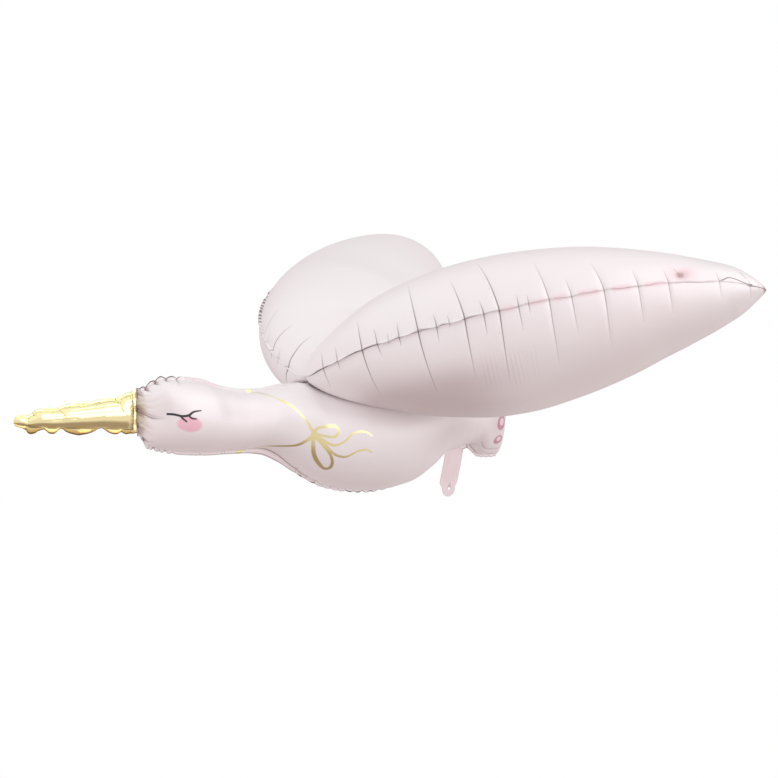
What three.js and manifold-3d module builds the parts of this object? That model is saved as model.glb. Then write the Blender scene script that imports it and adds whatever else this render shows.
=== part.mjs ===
// Foil stork balloon: an inflated bird of pearl pink film with a gold beak and one pair of wings.
// Millimetres, +Z up, the head towards -X, the bird's left wing towards -Y.
// The origin is the centre of the ribbon hole in the filling tab under the body.
// Each bag is drawn as the solid that its gas and film fill, with the welded edge standing out as a thin flange.

import * as THREE from "three";
import { mergeVertices } from "three/addons/utils/BufferGeometryUtils.js";
import Module from "manifold-3d";

const wasm = await Module();
wasm.setup();

// Film and clearances
const SEAL_THICKNESS = 1.6; // a welded edge, drawn thicker than its two films
const GAP = 0.4; // between bags that touch
const SEAM_CROWDING = 0.075; // how far the points along a film crowd towards its seams
const CREASE_FADE = 6; // how quickly a crease dies away from its seam
const LEAST_BULGE = 0.02; // what keeps the two films of a pinched end apart

// Body bag: head, neck, belly and tail
const BODY_LENGTH = 1006; // beak weld to the rear edge of the tail
const BODY_FLANGE = 7; // width of the welded edge outside the chamber
const BODY_PUCKER_PITCH = 40; // between creases along the belly seam
const BODY_PUCKER_DEPTH = 5;
const HEAD_PUCKER_PITCH = 22; // between the tighter creases of the crown, the chin and the tail
const HEAD_PUCKER_DEPTH = 7;
const HIDDEN_FLANGE = 0.6; // what stands up of the seam where the wings press on it
const HIDDEN_LEAD = 12; // how far ahead of the wings' front point the seam is already pressed flat
const HIDDEN_LENGTH = 350; // how far behind that point it stays flat

// Beak bag
const BEAK_LENGTH = 281; // weld to tip
const BEAK_TIP_HEIGHT = 51; // where the rounding of the tip begins
const BEAK_TIP_ROUNDING = 30; // length of that rounding
const BEAK_TIP_SHARE = 0.5; // height of the blunt end as a share of the tip's
const BEAK_DROOP = 6; // how far the beak's middle is below the head's at the tip
const BEAK_DROOP_END = 0.2; // share of the beak behind the place where it has drooped fully
const BEAK_THICKNESS = 58; // across the chamber at its fullest
const BEAK_FLANGE = 6;
const BEAK_PINCH = 34; // length over which the chamber flattens into the weld
const BEAK_PUCKER_PITCH = 34;
const BEAK_PUCKER_DEPTH = 4;

// Wings
const WING_STATION = 427; // front point of the wings behind the beak weld
const WING_SEAT = 11; // front point above the body's back
const WING_LENGTH = 1050; // root to tip along the middle line
const WING_HALF_WIDTH = 227; // seam to middle line at the widest place
const WING_HALF_THICKNESS = 171; // upper film above the middle line
const WING_UNDER_FULLNESS = 1.03; // how much deeper the underside is
const WING_SWEEP = 49; // degrees back from straight out to the side
const WING_RISE = 17.5; // degrees up from level
const WING_TWIST = 11; // degrees that the leading seam turns up from root to tip
const WING_BOW = 7; // forward bow of the middle line
const WING_ROOT_POWER = 0.65; // how blunt the root end of the outline is
const WING_TIP_POWER = 0.79; // how blunt the tip end is
const WING_FLANGE = 8;
const WING_PUCKERS = 22; // creases along each seam
const WING_PUCKER_DEPTH = 8;

// Filling tab under the rump
const TAB_STATION = 841; // middle of the tab's root behind the beak weld
const TAB_DROP = 92; // ribbon hole below the body seam
const TAB_LEAN = 8; // ribbon hole ahead of the tab's root
const TAB_WIDTH = 58;
const TAB_LOBE_RADIUS = 19; // rounded end round the hole
const TAB_SHOULDER = 18; // height above the hole at which the tab is at its full width
const TAB_ROOT = 22; // length that is welded inside the body seam
const RIBBON_HOLE_RADIUS = 3.8;

// Body outline with its flange, in thousandths of the body's length: distance behind the beak weld, then height
// above or below the middle of the weld.
const BODY_TOP = [
  [0, 48], [22, 56], [57, 71], [96, 68], [150, 59], [200, 41], [255, 29], [300, 27], [360, 36], [425, 46],
  [520, 50], [620, 43], [720, 26], [800, 8], [865, -7], [900, -5], [935, 11], [965, 13], [986, -22],
  [997, -58], [1000, -80],
];
const BODY_BOTTOM = [
  [0, -56], [22, -87], [60, -99], [110, -107], [165, -113], [255, -116], [300, -122], [345, -142], [400, -178],
  [464, -213], [530, -231], [600, -239], [680, -230], [735, -204], [785, -171], [832, -161], [880, -161],
  [915, -183], [965, -187], [986, -152], [997, -114], [1000, -90],
];
const BODY_HALF_WIDTH = [
  [0, 0], [12, 30], [30, 50], [60, 68], [100, 79], [150, 80], [200, 71], [255, 66], [300, 67], [360, 86],
  [425, 112], [530, 134], [600, 136], [680, 126], [735, 114], [790, 95], [835, 80], [880, 68], [920, 56],
  [955, 40], [980, 22], [994, 0], [1000, 0],
];
// Stretches of the seams that are gathered into creases: begins, full, still full, ends
const GATHERS = { head: [0, 20, 80, 115], belly: [420, 470, 760, 800], tail: [905, 930, 975, 990] };
// Ends of the stretches of the body, and the distance between its sections there
const BODY_SECTIONS = [[110, 11], [390, 40], [830, 20], [885, 18], [978, 11], [1000, 5.5]];

const radians = THREE.MathUtils.degToRad;

// Height of a smooth curve through rows of [place, value], without overshoot.
function curveAt(rows, place) {
  const last = rows.length - 1;
  const slope = (i) => {
    if (i === 0 || i === last) return 0;
    const before = (rows[i][1] - rows[i - 1][1]) / (rows[i][0] - rows[i - 1][0]);
    const after = (rows[i + 1][1] - rows[i][1]) / (rows[i + 1][0] - rows[i][0]);
    return before * after <= 0 ? 0 : (2 * before * after) / (before + after);
  };
  let i = 0;
  while (i < last - 1 && place > rows[i + 1][0]) i += 1;
  const run = rows[i + 1][0] - rows[i][0];
  const t = THREE.MathUtils.clamp((place - rows[i][0]) / run, 0, 1);
  const ease = t * t * (3 - 2 * t);
  const leave = slope(i) * run * t * (1 - t) * (1 - t);
  const arrive = slope(i + 1) * run * t * t * (1 - t);
  return rows[i][1] + (rows[i + 1][1] - rows[i][1]) * ease + leave - arrive;
}

// 1 in the bottom of a crease and 0 on the swelling between two creases, with a sharp valley.
function crease(distance, pitch) {
  return 1 - Math.abs(Math.sin((Math.PI * distance) / pitch));
}

// One section across a bag, as [along, across] pairs. `along` runs from seam to seam and `across` is the bag's
// thickness. The two films bulge between two welded edges.
function section({ halfAlong, halfAcross, flanges, puckers, films, grow = 0 }) {
  const edge = SEAL_THICKNESS / 2 + grow;
  const along = halfAlong + grow;
  const bulge = Math.max(halfAcross + grow - edge, LEAST_BULGE);
  const points = [];
  for (const [end, side] of [[0, 1], [1, -1]]) {
    const base = side * (along - puckers[end]);
    const tip = side * (along + flanges[end] - puckers[end] / 2);
    points.push([base, side * edge], [tip, side * edge], [tip, -side * edge], [base, -side * edge]);
    for (let i = 1; i < films; i += 1) {
      const share = i / films;
      const angle = Math.PI * (share - SEAM_CROWDING * Math.sin(2 * Math.PI * share));
      const dent = puckers[end] * (1 - share) ** CREASE_FADE + puckers[1 - end] * share ** CREASE_FADE;
      const reach = side * Math.cos(angle) * (along - dent);
      points.push([reach, -side * (edge + bulge * Math.sin(angle))]);
    }
  }
  return points;
}

// A closed solid through a row of rings that all have the same number of points.
function loft(rings) {
  const count = rings[0].length;
  const positions = [];
  const faces = [];
  for (const ring of rings) for (const point of ring) positions.push(point.x, point.y, point.z);
  for (let r = 0; r < rings.length - 1; r += 1) {
    for (let i = 0; i < count; i += 1) {
      const a = r * count + i;
      const b = r * count + ((i + 1) % count);
      faces.push(a, b, b + count, a, b + count, a + count);
    }
  }
  for (const [row, turned] of [[0, true], [rings.length - 1, false]]) {
    const middle = rings[row].reduce((sum, p) => sum.add(p), new THREE.Vector3()).divideScalar(count);
    const hub = positions.length / 3;
    positions.push(middle.x, middle.y, middle.z);
    for (let i = 0; i < count; i += 1) {
      const a = row * count + i;
      const b = row * count + ((i + 1) % count);
      faces.push(...(turned ? [hub, b, a] : [hub, a, b]));
    }
  }
  const geometry = new THREE.BufferGeometry();
  geometry.setAttribute("position", new THREE.Float32BufferAttribute(positions, 3));
  geometry.setIndex(faces);
  return geometry;
}

// A geometry as a solid that can be joined and cut, turned outside out if its rings ran the other way.
function solidOf(geometry) {
  const bare = geometry.clone();
  bare.deleteAttribute("normal");
  bare.deleteAttribute("uv");
  const merged = mergeVertices(bare, 1e-3);
  const make = (triVerts) =>
    new wasm.Manifold(new wasm.Mesh({ numProp: 3, vertProperties: merged.attributes.position.array, triVerts }));
  const made = make(new Uint32Array(merged.index.array));
  return made.volume() < 0 ? make(new Uint32Array(merged.index.array).reverse()) : made;
}

function geometryOf(solid) {
  const mesh = solid.getMesh();
  const geometry = new THREE.BufferGeometry();
  geometry.setAttribute("position", new THREE.Float32BufferAttribute(mesh.vertProperties, 3));
  geometry.setIndex(new THREE.Uint32BufferAttribute(mesh.triVerts, 1));
  geometry.computeVertexNormals();
  return geometry;
}

// Body measures in millimetres at a distance behind the beak weld
const perMille = BODY_LENGTH / 1000;
const bodyTop = (station) => curveAt(BODY_TOP, station / perMille) * perMille;
const bodyBottom = (station) => curveAt(BODY_BOTTOM, station / perMille) * perMille;
const bodyHalfWidth = (station) => curveAt(BODY_HALF_WIDTH, station / perMille) * perMille;

// Place of the middle of the beak weld, from the ribbon hole up through the tab
const WELD = new THREE.Vector3(TAB_LEAN - TAB_STATION, 0, TAB_DROP - bodyBottom(TAB_STATION));

// How strongly the seam is gathered at a station: the crown and chin, the belly, and the rim of the tail.
function bodyPucker(station, seam) {
  const within = ([begins, full, stillFull, ends]) => {
    const share = station / perMille;
    const ease = THREE.MathUtils.smoothstep;
    return ease(share, begins, full) * (1 - ease(share, stillFull, ends));
  };
  const tight = (within(GATHERS.head) + within(GATHERS.tail)) * HEAD_PUCKER_DEPTH;
  const loose = seam === "bottom" ? within(GATHERS.belly) * BODY_PUCKER_DEPTH : 0;
  return tight * crease(station, HEAD_PUCKER_PITCH) + loose * crease(station, BODY_PUCKER_PITCH);
}

function bodyStations() {
  const stations = [];
  let from = 0;
  for (const [end, step] of BODY_SECTIONS) {
    const count = Math.round((end - from) / step);
    for (let i = 0; i < count; i += 1) stations.push((from + ((end - from) * i) / count) * perMille);
    from = end;
  }
  return [...stations, BODY_LENGTH];
}

// The body's sections stand upright across the bird. `grow` makes the larger body that cuts the wings' seat.
function bodyBag(grow = 0) {
  const rings = bodyStations().map((station) => {
    const top = bodyTop(station);
    const bottom = bodyBottom(station);
    const outer = (top - bottom) / 2;
    const hidden = station > WING_STATION - HIDDEN_LEAD && station < WING_STATION + HIDDEN_LENGTH;
    const flange = Math.min(BODY_FLANGE, outer / 2);
    const flanges = [hidden ? Math.min(HIDDEN_FLANGE, flange) : flange, flange];
    const ring = section({
      halfAlong: outer - flange,
      halfAcross: bodyHalfWidth(station),
      flanges,
      puckers: [bodyPucker(station, "top"), bodyPucker(station, "bottom")],
      films: 9,
      grow,
    });
    const middle = (top + bottom) / 2;
    return ring.map(([along, across]) => new THREE.Vector3(station, across, middle + along).add(WELD));
  });
  return solidOf(loft(rings));
}

// Flat tongue of film in the plane of symmetry, with a waist above its rounded end and a hole for the ribbon.
function fillingTab() {
  const half = TAB_WIDTH / 2;
  const leanAt = (height) => (TAB_LEAN * height) / TAB_DROP;
  const top = TAB_DROP + TAB_ROOT;
  const waist = TAB_SHOULDER / 3;
  const shape = new THREE.Shape();
  shape.moveTo(leanAt(top) - half, top);
  shape.lineTo(leanAt(TAB_SHOULDER) - half, TAB_SHOULDER);
  shape.bezierCurveTo(-half, waist, -TAB_LOBE_RADIUS, waist * 2, -TAB_LOBE_RADIUS, 0);
  shape.absarc(0, 0, TAB_LOBE_RADIUS, Math.PI, 2 * Math.PI, false);
  shape.bezierCurveTo(TAB_LOBE_RADIUS, waist * 2, half, waist, leanAt(TAB_SHOULDER) + half, TAB_SHOULDER);
  shape.lineTo(leanAt(top) + half, top);
  shape.closePath();
  const hole = new THREE.Path();
  hole.absarc(0, 0, RIBBON_HOLE_RADIUS, 0, 2 * Math.PI, true);
  shape.holes.push(hole);
  const geometry = new THREE.ExtrudeGeometry(shape, {
    depth: SEAL_THICKNESS,
    bevelEnabled: false,
    curveSegments: 10,
  });
  geometry.rotateX(Math.PI / 2);
  geometry.translate(0, SEAL_THICKNESS / 2, 0);
  return solidOf(geometry);
}

// Gold bag ahead of the weld. Its sections stand upright too, and its height at the weld is the body's.
function beakBag() {
  const baseHeight = bodyTop(0) - bodyBottom(0);
  const baseMiddle = (bodyTop(0) + bodyBottom(0)) / 2;
  const count = 2 * Math.round(BEAK_LENGTH / BEAK_PUCKER_PITCH);
  const rings = [];
  for (let i = 0; i <= count; i += 1) {
    const share = i / count;
    const station = THREE.MathUtils.lerp(GAP, BEAK_LENGTH, share);
    const fromTip = Math.min((BEAK_LENGTH - station) / BEAK_TIP_ROUNDING, 1);
    const tipRound = Math.max(Math.sqrt(1 - (1 - fromTip) ** 2), BEAK_TIP_SHARE);
    const height = THREE.MathUtils.lerp(baseHeight, BEAK_TIP_HEIGHT, share) * tipRound;
    const drooped = THREE.MathUtils.smoothstep(share, 0, BEAK_DROOP_END);
    const middle = THREE.MathUtils.lerp(baseMiddle, -BEAK_DROOP, drooped);
    const pinch = Math.sqrt(1 - (1 - Math.min(station / BEAK_PINCH, 1)) ** 2);
    const pucker = i === 0 ? 0 : BEAK_PUCKER_DEPTH * (i % 2);
    const flange = Math.min(BEAK_FLANGE, height / 4);
    const halfAlong = height / 2 - flange;
    const ring = section({
      halfAlong,
      halfAcross: Math.min(BEAK_THICKNESS / 2, halfAlong) * pinch,
      flanges: [flange, flange],
      puckers: [pucker * tipRound, pucker * tipRound],
      films: 7,
    });
    rings.push(ring.map(([along, across]) => new THREE.Vector3(-station, across, middle + along).add(WELD)));
  }
  return solidOf(loft(rings));
}

// Outline of a leaf from 0 at its ends to 1 at its widest place
function leaf(share) {
  const widest = WING_ROOT_POWER / (WING_ROOT_POWER + WING_TIP_POWER);
  const value = (s) => s ** WING_ROOT_POWER * (1 - s) ** WING_TIP_POWER;
  return value(share) / value(widest);
}

// One wing's bag, for side -1 (the bird's left) or 1. Its sections lie across the middle line, from the trailing
// seam to the leading seam.
function wingBag(side) {
  const sweep = radians(WING_SWEEP);
  const rise = radians(WING_RISE);
  const back = new THREE.Vector3(1, 0, 0);
  const out = new THREE.Vector3(0, side * Math.cos(rise), Math.sin(rise));
  const axis = back.clone().multiplyScalar(Math.sin(sweep)).addScaledVector(out, Math.cos(sweep));
  const chord = out.clone().multiplyScalar(Math.sin(sweep)).addScaledVector(back, -Math.cos(sweep));
  const normal = new THREE.Vector3(0, -side * Math.sin(rise), Math.cos(rise));
  const root = new THREE.Vector3(WING_STATION, 0, bodyTop(WING_STATION) + WING_SEAT).add(WELD);
  const sections = 2 * WING_PUCKERS;
  const rings = [];
  const addRing = (share, beyond, flange) => {
    const outline = leaf(share);
    const turn = radians(WING_TWIST * share);
    const leading = chord.clone().multiplyScalar(Math.cos(turn)).addScaledVector(normal, Math.sin(turn));
    const upward = normal.clone().multiplyScalar(Math.cos(turn)).addScaledVector(chord, -Math.sin(turn));
    const middle = root.clone().addScaledVector(axis, WING_LENGTH * share + beyond);
    middle.addScaledVector(chord, WING_BOW * Math.sin(Math.PI * share));
    const pucker = WING_PUCKER_DEPTH * (rings.length % 2) * Math.min(3 * outline, 1);
    const ring = section({
      halfAlong: Math.max(WING_HALF_WIDTH * outline, 0.5),
      halfAcross: WING_HALF_THICKNESS * outline,
      flanges: [flange, flange],
      puckers: beyond ? [0, 0] : [pucker, pucker],
      films: 12,
    });
    const place = ([along, across]) => {
      const height = -side * across * (side * across > 0 ? WING_UNDER_FULLNESS : 1);
      return middle.clone().addScaledVector(leading, along).addScaledVector(upward, height);
    };
    rings.push(ring.map(place));
  };
  addRing(0, -WING_FLANGE, WING_FLANGE / 2);
  for (let i = 0; i <= sections; i += 1) {
    const even = i / sections;
    addRing(THREE.MathUtils.lerp(even, (1 - Math.cos(Math.PI * even)) / 2, 0.5), 0, WING_FLANGE);
  }
  addRing(1, WING_FLANGE, WING_FLANGE / 2);
  return solidOf(loft(rings));
}

function meshOf(name, solid, material) {
  const mesh = new THREE.Mesh(geometryOf(solid), material);
  mesh.name = name;
  return mesh;
}

const pinkFilm = new THREE.MeshStandardMaterial({ color: 0xf1e6e8, roughness: 0.4, metalness: 0 });
const wingFilm = new THREE.MeshStandardMaterial({ color: 0xf1e8e9, roughness: 0.4, metalness: 0 });
const goldFilm = new THREE.MeshStandardMaterial({ color: 0xd9b45a, roughness: 0.15, metalness: 1 });

const stork = new THREE.Group();
stork.add(meshOf("body", bodyBag().add(fillingTab()), pinkFilm));
stork.add(meshOf("beak", beakBag(), goldFilm));
stork.add(meshOf("wings", wingBag(-1).add(wingBag(1)).subtract(bodyBag(GAP)), wingFilm));

export default stork;
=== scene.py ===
"""Foil stork balloon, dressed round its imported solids.

Three inflated bags of film (body, beak and the pair of wings) and the flat filling tab. Sizes are
millimetres until a mesh is made, and metres after that. A bag's film coordinates are the distance along the
bag and the arc across one film, measured from the film's middle line towards its first seam.
"""

import logging
import math
from dataclasses import dataclass, field
from enum import Enum, IntEnum

import bmesh
import bpy
import numpy as np
from mathutils import Matrix, Vector


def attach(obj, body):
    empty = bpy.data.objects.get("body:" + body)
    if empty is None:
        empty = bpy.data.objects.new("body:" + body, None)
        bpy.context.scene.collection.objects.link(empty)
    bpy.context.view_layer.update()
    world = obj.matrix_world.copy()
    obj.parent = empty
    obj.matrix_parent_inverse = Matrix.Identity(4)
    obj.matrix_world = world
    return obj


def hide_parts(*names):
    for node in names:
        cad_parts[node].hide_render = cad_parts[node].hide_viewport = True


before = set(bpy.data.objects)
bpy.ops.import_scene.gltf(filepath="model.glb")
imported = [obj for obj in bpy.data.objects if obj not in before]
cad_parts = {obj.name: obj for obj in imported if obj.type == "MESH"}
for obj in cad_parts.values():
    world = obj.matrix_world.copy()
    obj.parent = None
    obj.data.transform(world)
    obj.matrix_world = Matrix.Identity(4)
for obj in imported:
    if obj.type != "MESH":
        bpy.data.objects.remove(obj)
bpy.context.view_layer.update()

MM = 0.001
# Layers of the painted shadow lines along folds and along seams
LINE_SETS = ("fold_line", "seam_line")
# The upper or left film of a bag, its other film, and both
UPPER = slice(0, 1)
UNDER = slice(1, 2)
BOTH = slice(0, 2)
# Powers with which a crease drifts and fades away from its seam, and the depth whose shadow line is full
CREASE_DRIFT = 1.3
CREASE_FADE = 0.8
FULL_LINE_DEPTH = 4.5
# How far from a line or a spot its distance is still told, in the measure of each
LINE_REACH = 9
SPOT_REACH = 30
Point = tuple[float, float]
Rows = tuple[Point, ...]
Triple = tuple[float, float, float]
Colour = tuple[float, float, float, float]

# Places shared with the part's source
WELD = Vector((-833.0, 0.0, 253.97))
BODY_LENGTH = 1006.0
WING_STATION = 427.0
WING_BACK = 46.2
WING_SEAT = 11.0

# Signs of a bag's two films in the direction out of a wing, and in the direction across the bird
FILMS = np.array([1, -1])[:, None, None]
SIDES = -FILMS

log = logging.getLogger("stork")


class Side(IntEnum):
    """A side of the bird, as the sign of Y there."""

    LEFT = -1
    RIGHT = 1


class Slot(Enum):
    """Names of the material slots."""

    PINK = "pearl_pink_film"
    GOLD = "gold_film"


class Seam(IntEnum):
    """The two welded edges of a bag: the top or leading one, and the bottom or trailing one."""

    FIRST = 0
    SECOND = 1


def smooth(low: float, high: float, value: np.ndarray | float) -> np.ndarray:
    """Ease from 0 at low to 1 at high.

    Args:
        low: Where the easing starts.
        high: Where it ends.
        value: What is eased.

    Returns:
        The eased share.
    """
    share = np.clip((np.asarray(value, float) - low) / (high - low), 0, 1)
    return share * share * (3 - 2 * share)


def plateau(rise: Point, fall: Point, value: np.ndarray) -> np.ndarray:
    """Ease from 0 to 1 over one stretch of the value, and back to 0 over another."""
    return smooth(*rise, value) * (1 - smooth(*fall, value))


def blob(along: np.ndarray, arc: np.ndarray, centre: Point, half: Point) -> np.ndarray:
    """A soft round spot at places along and across a film, 1 at its centre."""
    return np.exp(-(((along - centre[0]) / half[0]) ** 2 + ((arc - centre[1]) / half[1]) ** 2))


def bag_middle(
    rims: tuple[np.ndarray, np.ndarray], flanges: tuple[np.ndarray, np.ndarray]
) -> tuple[np.ndarray, np.ndarray]:
    """Half the distance between a bag's seams, and the height halfway between them.

    Args:
        rims: Heights of the top and the bottom rim.
        flanges: Widths of the top and the bottom welded edge.

    Returns:
        The half distance and the height.
    """
    top, bottom = rims
    upper, lower = flanges
    return (top - upper - bottom - lower) / 2, (top - upper + bottom + lower) / 2


def curve(rows: Rows, place: np.ndarray, scale: float = 1.0) -> np.ndarray:
    """Height of a smooth curve through rows, without overshoot.

    Args:
        rows: Pairs of place and height, in order.
        place: Where the height is wanted.
        scale: Factor on both columns of the rows.

    Returns:
        The heights.
    """
    table = np.array(rows, float) * scale
    place = np.asarray(place, float)
    runs, rises = np.diff(table[:, 0]), np.diff(table[:, 1])
    secants = rises / runs
    slopes = np.zeros(len(table))
    before, after = secants[:-1], secants[1:]
    same = before * after > 0
    slopes[1:-1][same] = (2 * before * after)[same] / (before + after)[same]
    at = np.clip(np.searchsorted(table[:, 0], place, side="right") - 1, 0, len(table) - 2)
    run = runs[at]
    share = np.clip((place - table[at, 0]) / run, 0, 1)
    lift = slopes[at] * run * share * (1 - share) ** 2 - slopes[at + 1] * run * share**2 * (1 - share)
    return table[at, 1] + rises[at] * share**2 * (3 - 2 * share) + lift


def rounded(points: tuple[Point, ...], steps: int = 8) -> np.ndarray:
    """A smooth line through points.

    Args:
        points: The points it passes.
        steps: Pieces between two points.

    Returns:
        The points of the smooth line.
    """
    knots = np.array((points[0], *points, points[-1]), float)
    found = [knots[0]]
    for i in range(1, len(knots) - 2):
        a, b, c, d = knots[i - 1 : i + 3]
        for t in np.linspace(0, 1, steps + 1)[1:]:
            point = 2 * b + (c - a) * t + (2 * a - 5 * b + 4 * c - d) * t**2
            found.append(0.5 * (point + (3 * b - a - 3 * c + d) * t**3))
    return np.array(found)


@dataclass(frozen=True)
class Crease:
    """A sharp fold that runs into a film from one of its seams.

    Attributes:
        at: Distance along the bag where it leaves the seam.
        reach: How far it runs into the film.
        depth: How deep it is at the seam.
        width: Distance to each side over which the film swells back.
        lean: How far it has drifted along the bag at its end.
        ink: How dark its shadow line is.
    """

    at: float
    reach: float
    depth: float
    width: float = 6.0
    lean: float = 0.0
    ink: float = 1.0

    def mark(self, along: np.ndarray, inward: np.ndarray) -> tuple[np.ndarray, np.ndarray, np.ndarray]:
        """Where the fold runs and how deep it is.

        Args:
            along: Distance along the bag.
            inward: Distance from the seam into the film.

        Returns:
            The depth, the distance to the fold's line and the line's strength at each place.
        """
        share = np.clip(inward / self.reach, 0, 1)
        offset = along - self.at - self.lean * share**CREASE_DRIFT
        fade = (1 - share) ** CREASE_FADE
        strength = fade * self.ink * min(self.depth / FULL_LINE_DEPTH, 1.0)
        return self.depth * np.exp(-np.abs(offset) / self.width) * fade, offset, strength


SeamCreases = tuple[tuple[Seam, tuple[Crease, ...]], ...]


@dataclass(frozen=True)
class Fold:
    """A fold along a free line on a film.

    Attributes:
        points: The line, in film coordinates.
        depth: How deep the fold is.
        width: Distance to each side over which the film swells back.
        ink: How dark its shadow line is.
    """

    points: tuple[Point, ...]
    depth: float
    width: float = 4.0
    ink: float = 0.5

    def mark(self, along: np.ndarray, arc: np.ndarray) -> tuple[np.ndarray, np.ndarray, np.ndarray]:
        """Where the fold runs and how deep it is.

        Args:
            along: Distance along the bag.
            arc: Arc from the film's middle line.

        Returns:
            The depth, the distance to the fold's line and the line's strength at each place.
        """
        offset, share = line_offset(rounded(self.points), along, arc)
        fade = 1 - smooth(0.5, 1.0, share)
        return self.depth * np.exp(-np.abs(offset) / self.width) * fade, offset, fade * self.ink


@dataclass(frozen=True)
class Ripples:
    """A patch of fine parallel ripples that run across the bag.

    Attributes:
        along: Its first and last distance along the bag.
        arc: Its lowest and highest place across the film.
        pitch: Distance between two ripples.
        height: How deep they are.
        rim: Share of the patch over which they fade in, and out again.
    """

    along: Point
    arc: Point
    pitch: float
    height: float
    rim: float = 0.35

    def press(self, along: np.ndarray, arc: np.ndarray) -> np.ndarray:
        """How far the ripples press the film in.

        Args:
            along: Distance along the bag.
            arc: Place across the film.

        Returns:
            The depth at each place.
        """
        window = np.ones(np.broadcast(along, arc).shape)
        for (low, high), value in ((self.along, along), (self.arc, arc)):
            rim = (high - low) * self.rim
            window = window * plateau((low, low + rim), (high - rim, high), value)
        return self.height * window * (1 - np.abs(np.sin(np.pi * along / self.pitch)))


def line_offset(line: np.ndarray, along: np.ndarray, arc: np.ndarray) -> tuple[np.ndarray, np.ndarray]:
    """Distance from places on a film to a line, with its side as the sign.

    Args:
        line: Points of the line.
        along: Distance along the bag.
        arc: Arc from the film's middle line.

    Returns:
        The signed distance to the nearest point of the line, and that point's share of the line.
    """
    best = np.full(np.broadcast(along, arc).shape, 1e6)
    share = np.zeros(best.shape)
    count = len(line) - 1
    for i in range(count):
        (x, y), (dx, dy) = line[i], line[i + 1] - line[i]
        t = np.clip(((along - x) * dx + (arc - y) * dy) / max(dx * dx + dy * dy, 1e-9), 0, 1)
        distance = np.hypot(along - x - t * dx, arc - y - t * dy)
        side = np.where(dx * (arc - y) - dy * (along - x) < 0, -1.0, 1.0)
        near = distance < np.abs(best)
        best = np.where(near, distance * side, best)
        share = np.where(near, (i + t) / count, share)
    return best, share


def enclosed(line: np.ndarray, along: np.ndarray, arc: np.ndarray) -> np.ndarray:
    """Whether places on a film lie inside a closed line, by an even-odd count of crossings.

    Args:
        line: Points of the line, the last one on the first.
        along: Distance along the bag.
        arc: Arc from the film's middle line.

    Returns:
        True where a place lies inside.
    """
    inside = np.zeros(np.broadcast(along, arc).shape, bool)
    for (x0, y0), (x1, y1) in zip(line[:-1], line[1:]):
        if abs(y1 - y0) > 1e-9:
            crossing = ((y0 > arc) != (y1 > arc)) & (along < (x1 - x0) * (arc - y0) / (y1 - y0) + x0)
            inside ^= crossing
    return inside


@dataclass
class Relief:
    """What is pressed into a bag's films, and two sets of thin shadow lines.

    Attributes:
        shape: Films, rows and places of the bag.
        reach: Distance from a shadow line at which it has faded away.
        press: How deep each place is pressed in.
        offset: For each set, the distance of each place to its line.
        strength: For each set, how dark its line is there.
    """

    shape: tuple[int, int, int]
    reach: float
    press: np.ndarray = field(init=False)
    offset: np.ndarray = field(init=False)
    strength: np.ndarray = field(init=False)

    def __post_init__(self) -> None:
        """Start with smooth films."""
        self.press = np.zeros(self.shape)
        self.offset = np.full((2, *self.shape), self.reach)
        self.strength = np.zeros((2, *self.shape))

    def add(self, depth: np.ndarray, offset: np.ndarray, strength: np.ndarray, films: slice = BOTH) -> None:
        """Press a fold in and draw its line.

        Args:
            depth: Depth at each place.
            offset: Distance to the fold's line, with its side as the sign.
            strength: How dark the line is.
            films: The films that have the fold.
        """
        self.press[films] = np.maximum(self.press[films], depth)
        self.rule(offset, strength, films, 0)

    def rule(self, offset: np.ndarray, strength: np.ndarray, films: slice = BOTH, line_set: int = 1) -> None:
        """Draw a line.

        Args:
            offset: Distance to the line, with its side as the sign.
            strength: How dark the line is.
            films: The films that have the line.
            line_set: The set that gets it, 0 for folds and 1 for seams.
        """
        strength = strength * (1 - smooth(self.reach * 0.45, self.reach, np.abs(offset)))
        darker = strength > self.strength[line_set, films]
        self.offset[line_set, films] = np.where(darker, offset, self.offset[line_set, films])
        self.strength[line_set, films] = np.where(darker, strength, self.strength[line_set, films])

    def fold_in(
        self, section: "Section", along: np.ndarray, creases: SeamCreases, folds: tuple[Fold, ...]
    ) -> None:
        """Press in the creases that leave the seams, and the folds along free lines.

        Args:
            section: The bag's films.
            along: Distance along the bag at each place.
            creases: The creases of each seam.
            folds: The folds.
        """
        for seam, leaving in creases:
            inward = section.inward(seam)
            for crease in leaving:
                self.add(*crease.mark(along, inward))
        for fold in folds:
            self.add(*fold.mark(along, section.arc))

    def layers(self, deep: float) -> dict[str, np.ndarray]:
        """The numbers that the finishes read.

        Args:
            deep: The depth that lies in full shadow.

        Returns:
            The numbers at each place, by the name of their layer.
        """
        # The depth of each fold, painted as shade
        found = {"fold": np.clip(self.press / deep, 0, 1) ** 2}
        for name, offset, strength in zip(LINE_SETS, self.offset, self.strength):
            found[f"{name}_offset"] = np.clip(offset, -LINE_REACH, LINE_REACH)
            found[f"{name}_strength"] = strength
        return found


def darken(layers: dict[str, np.ndarray], shade: np.ndarray, films: int | slice = BOTH) -> None:
    """Paint shade onto some films, where it is darker than the painted shade that they hold already."""
    layers["fold"][films] = np.maximum(layers["fold"][films], shade)


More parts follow.
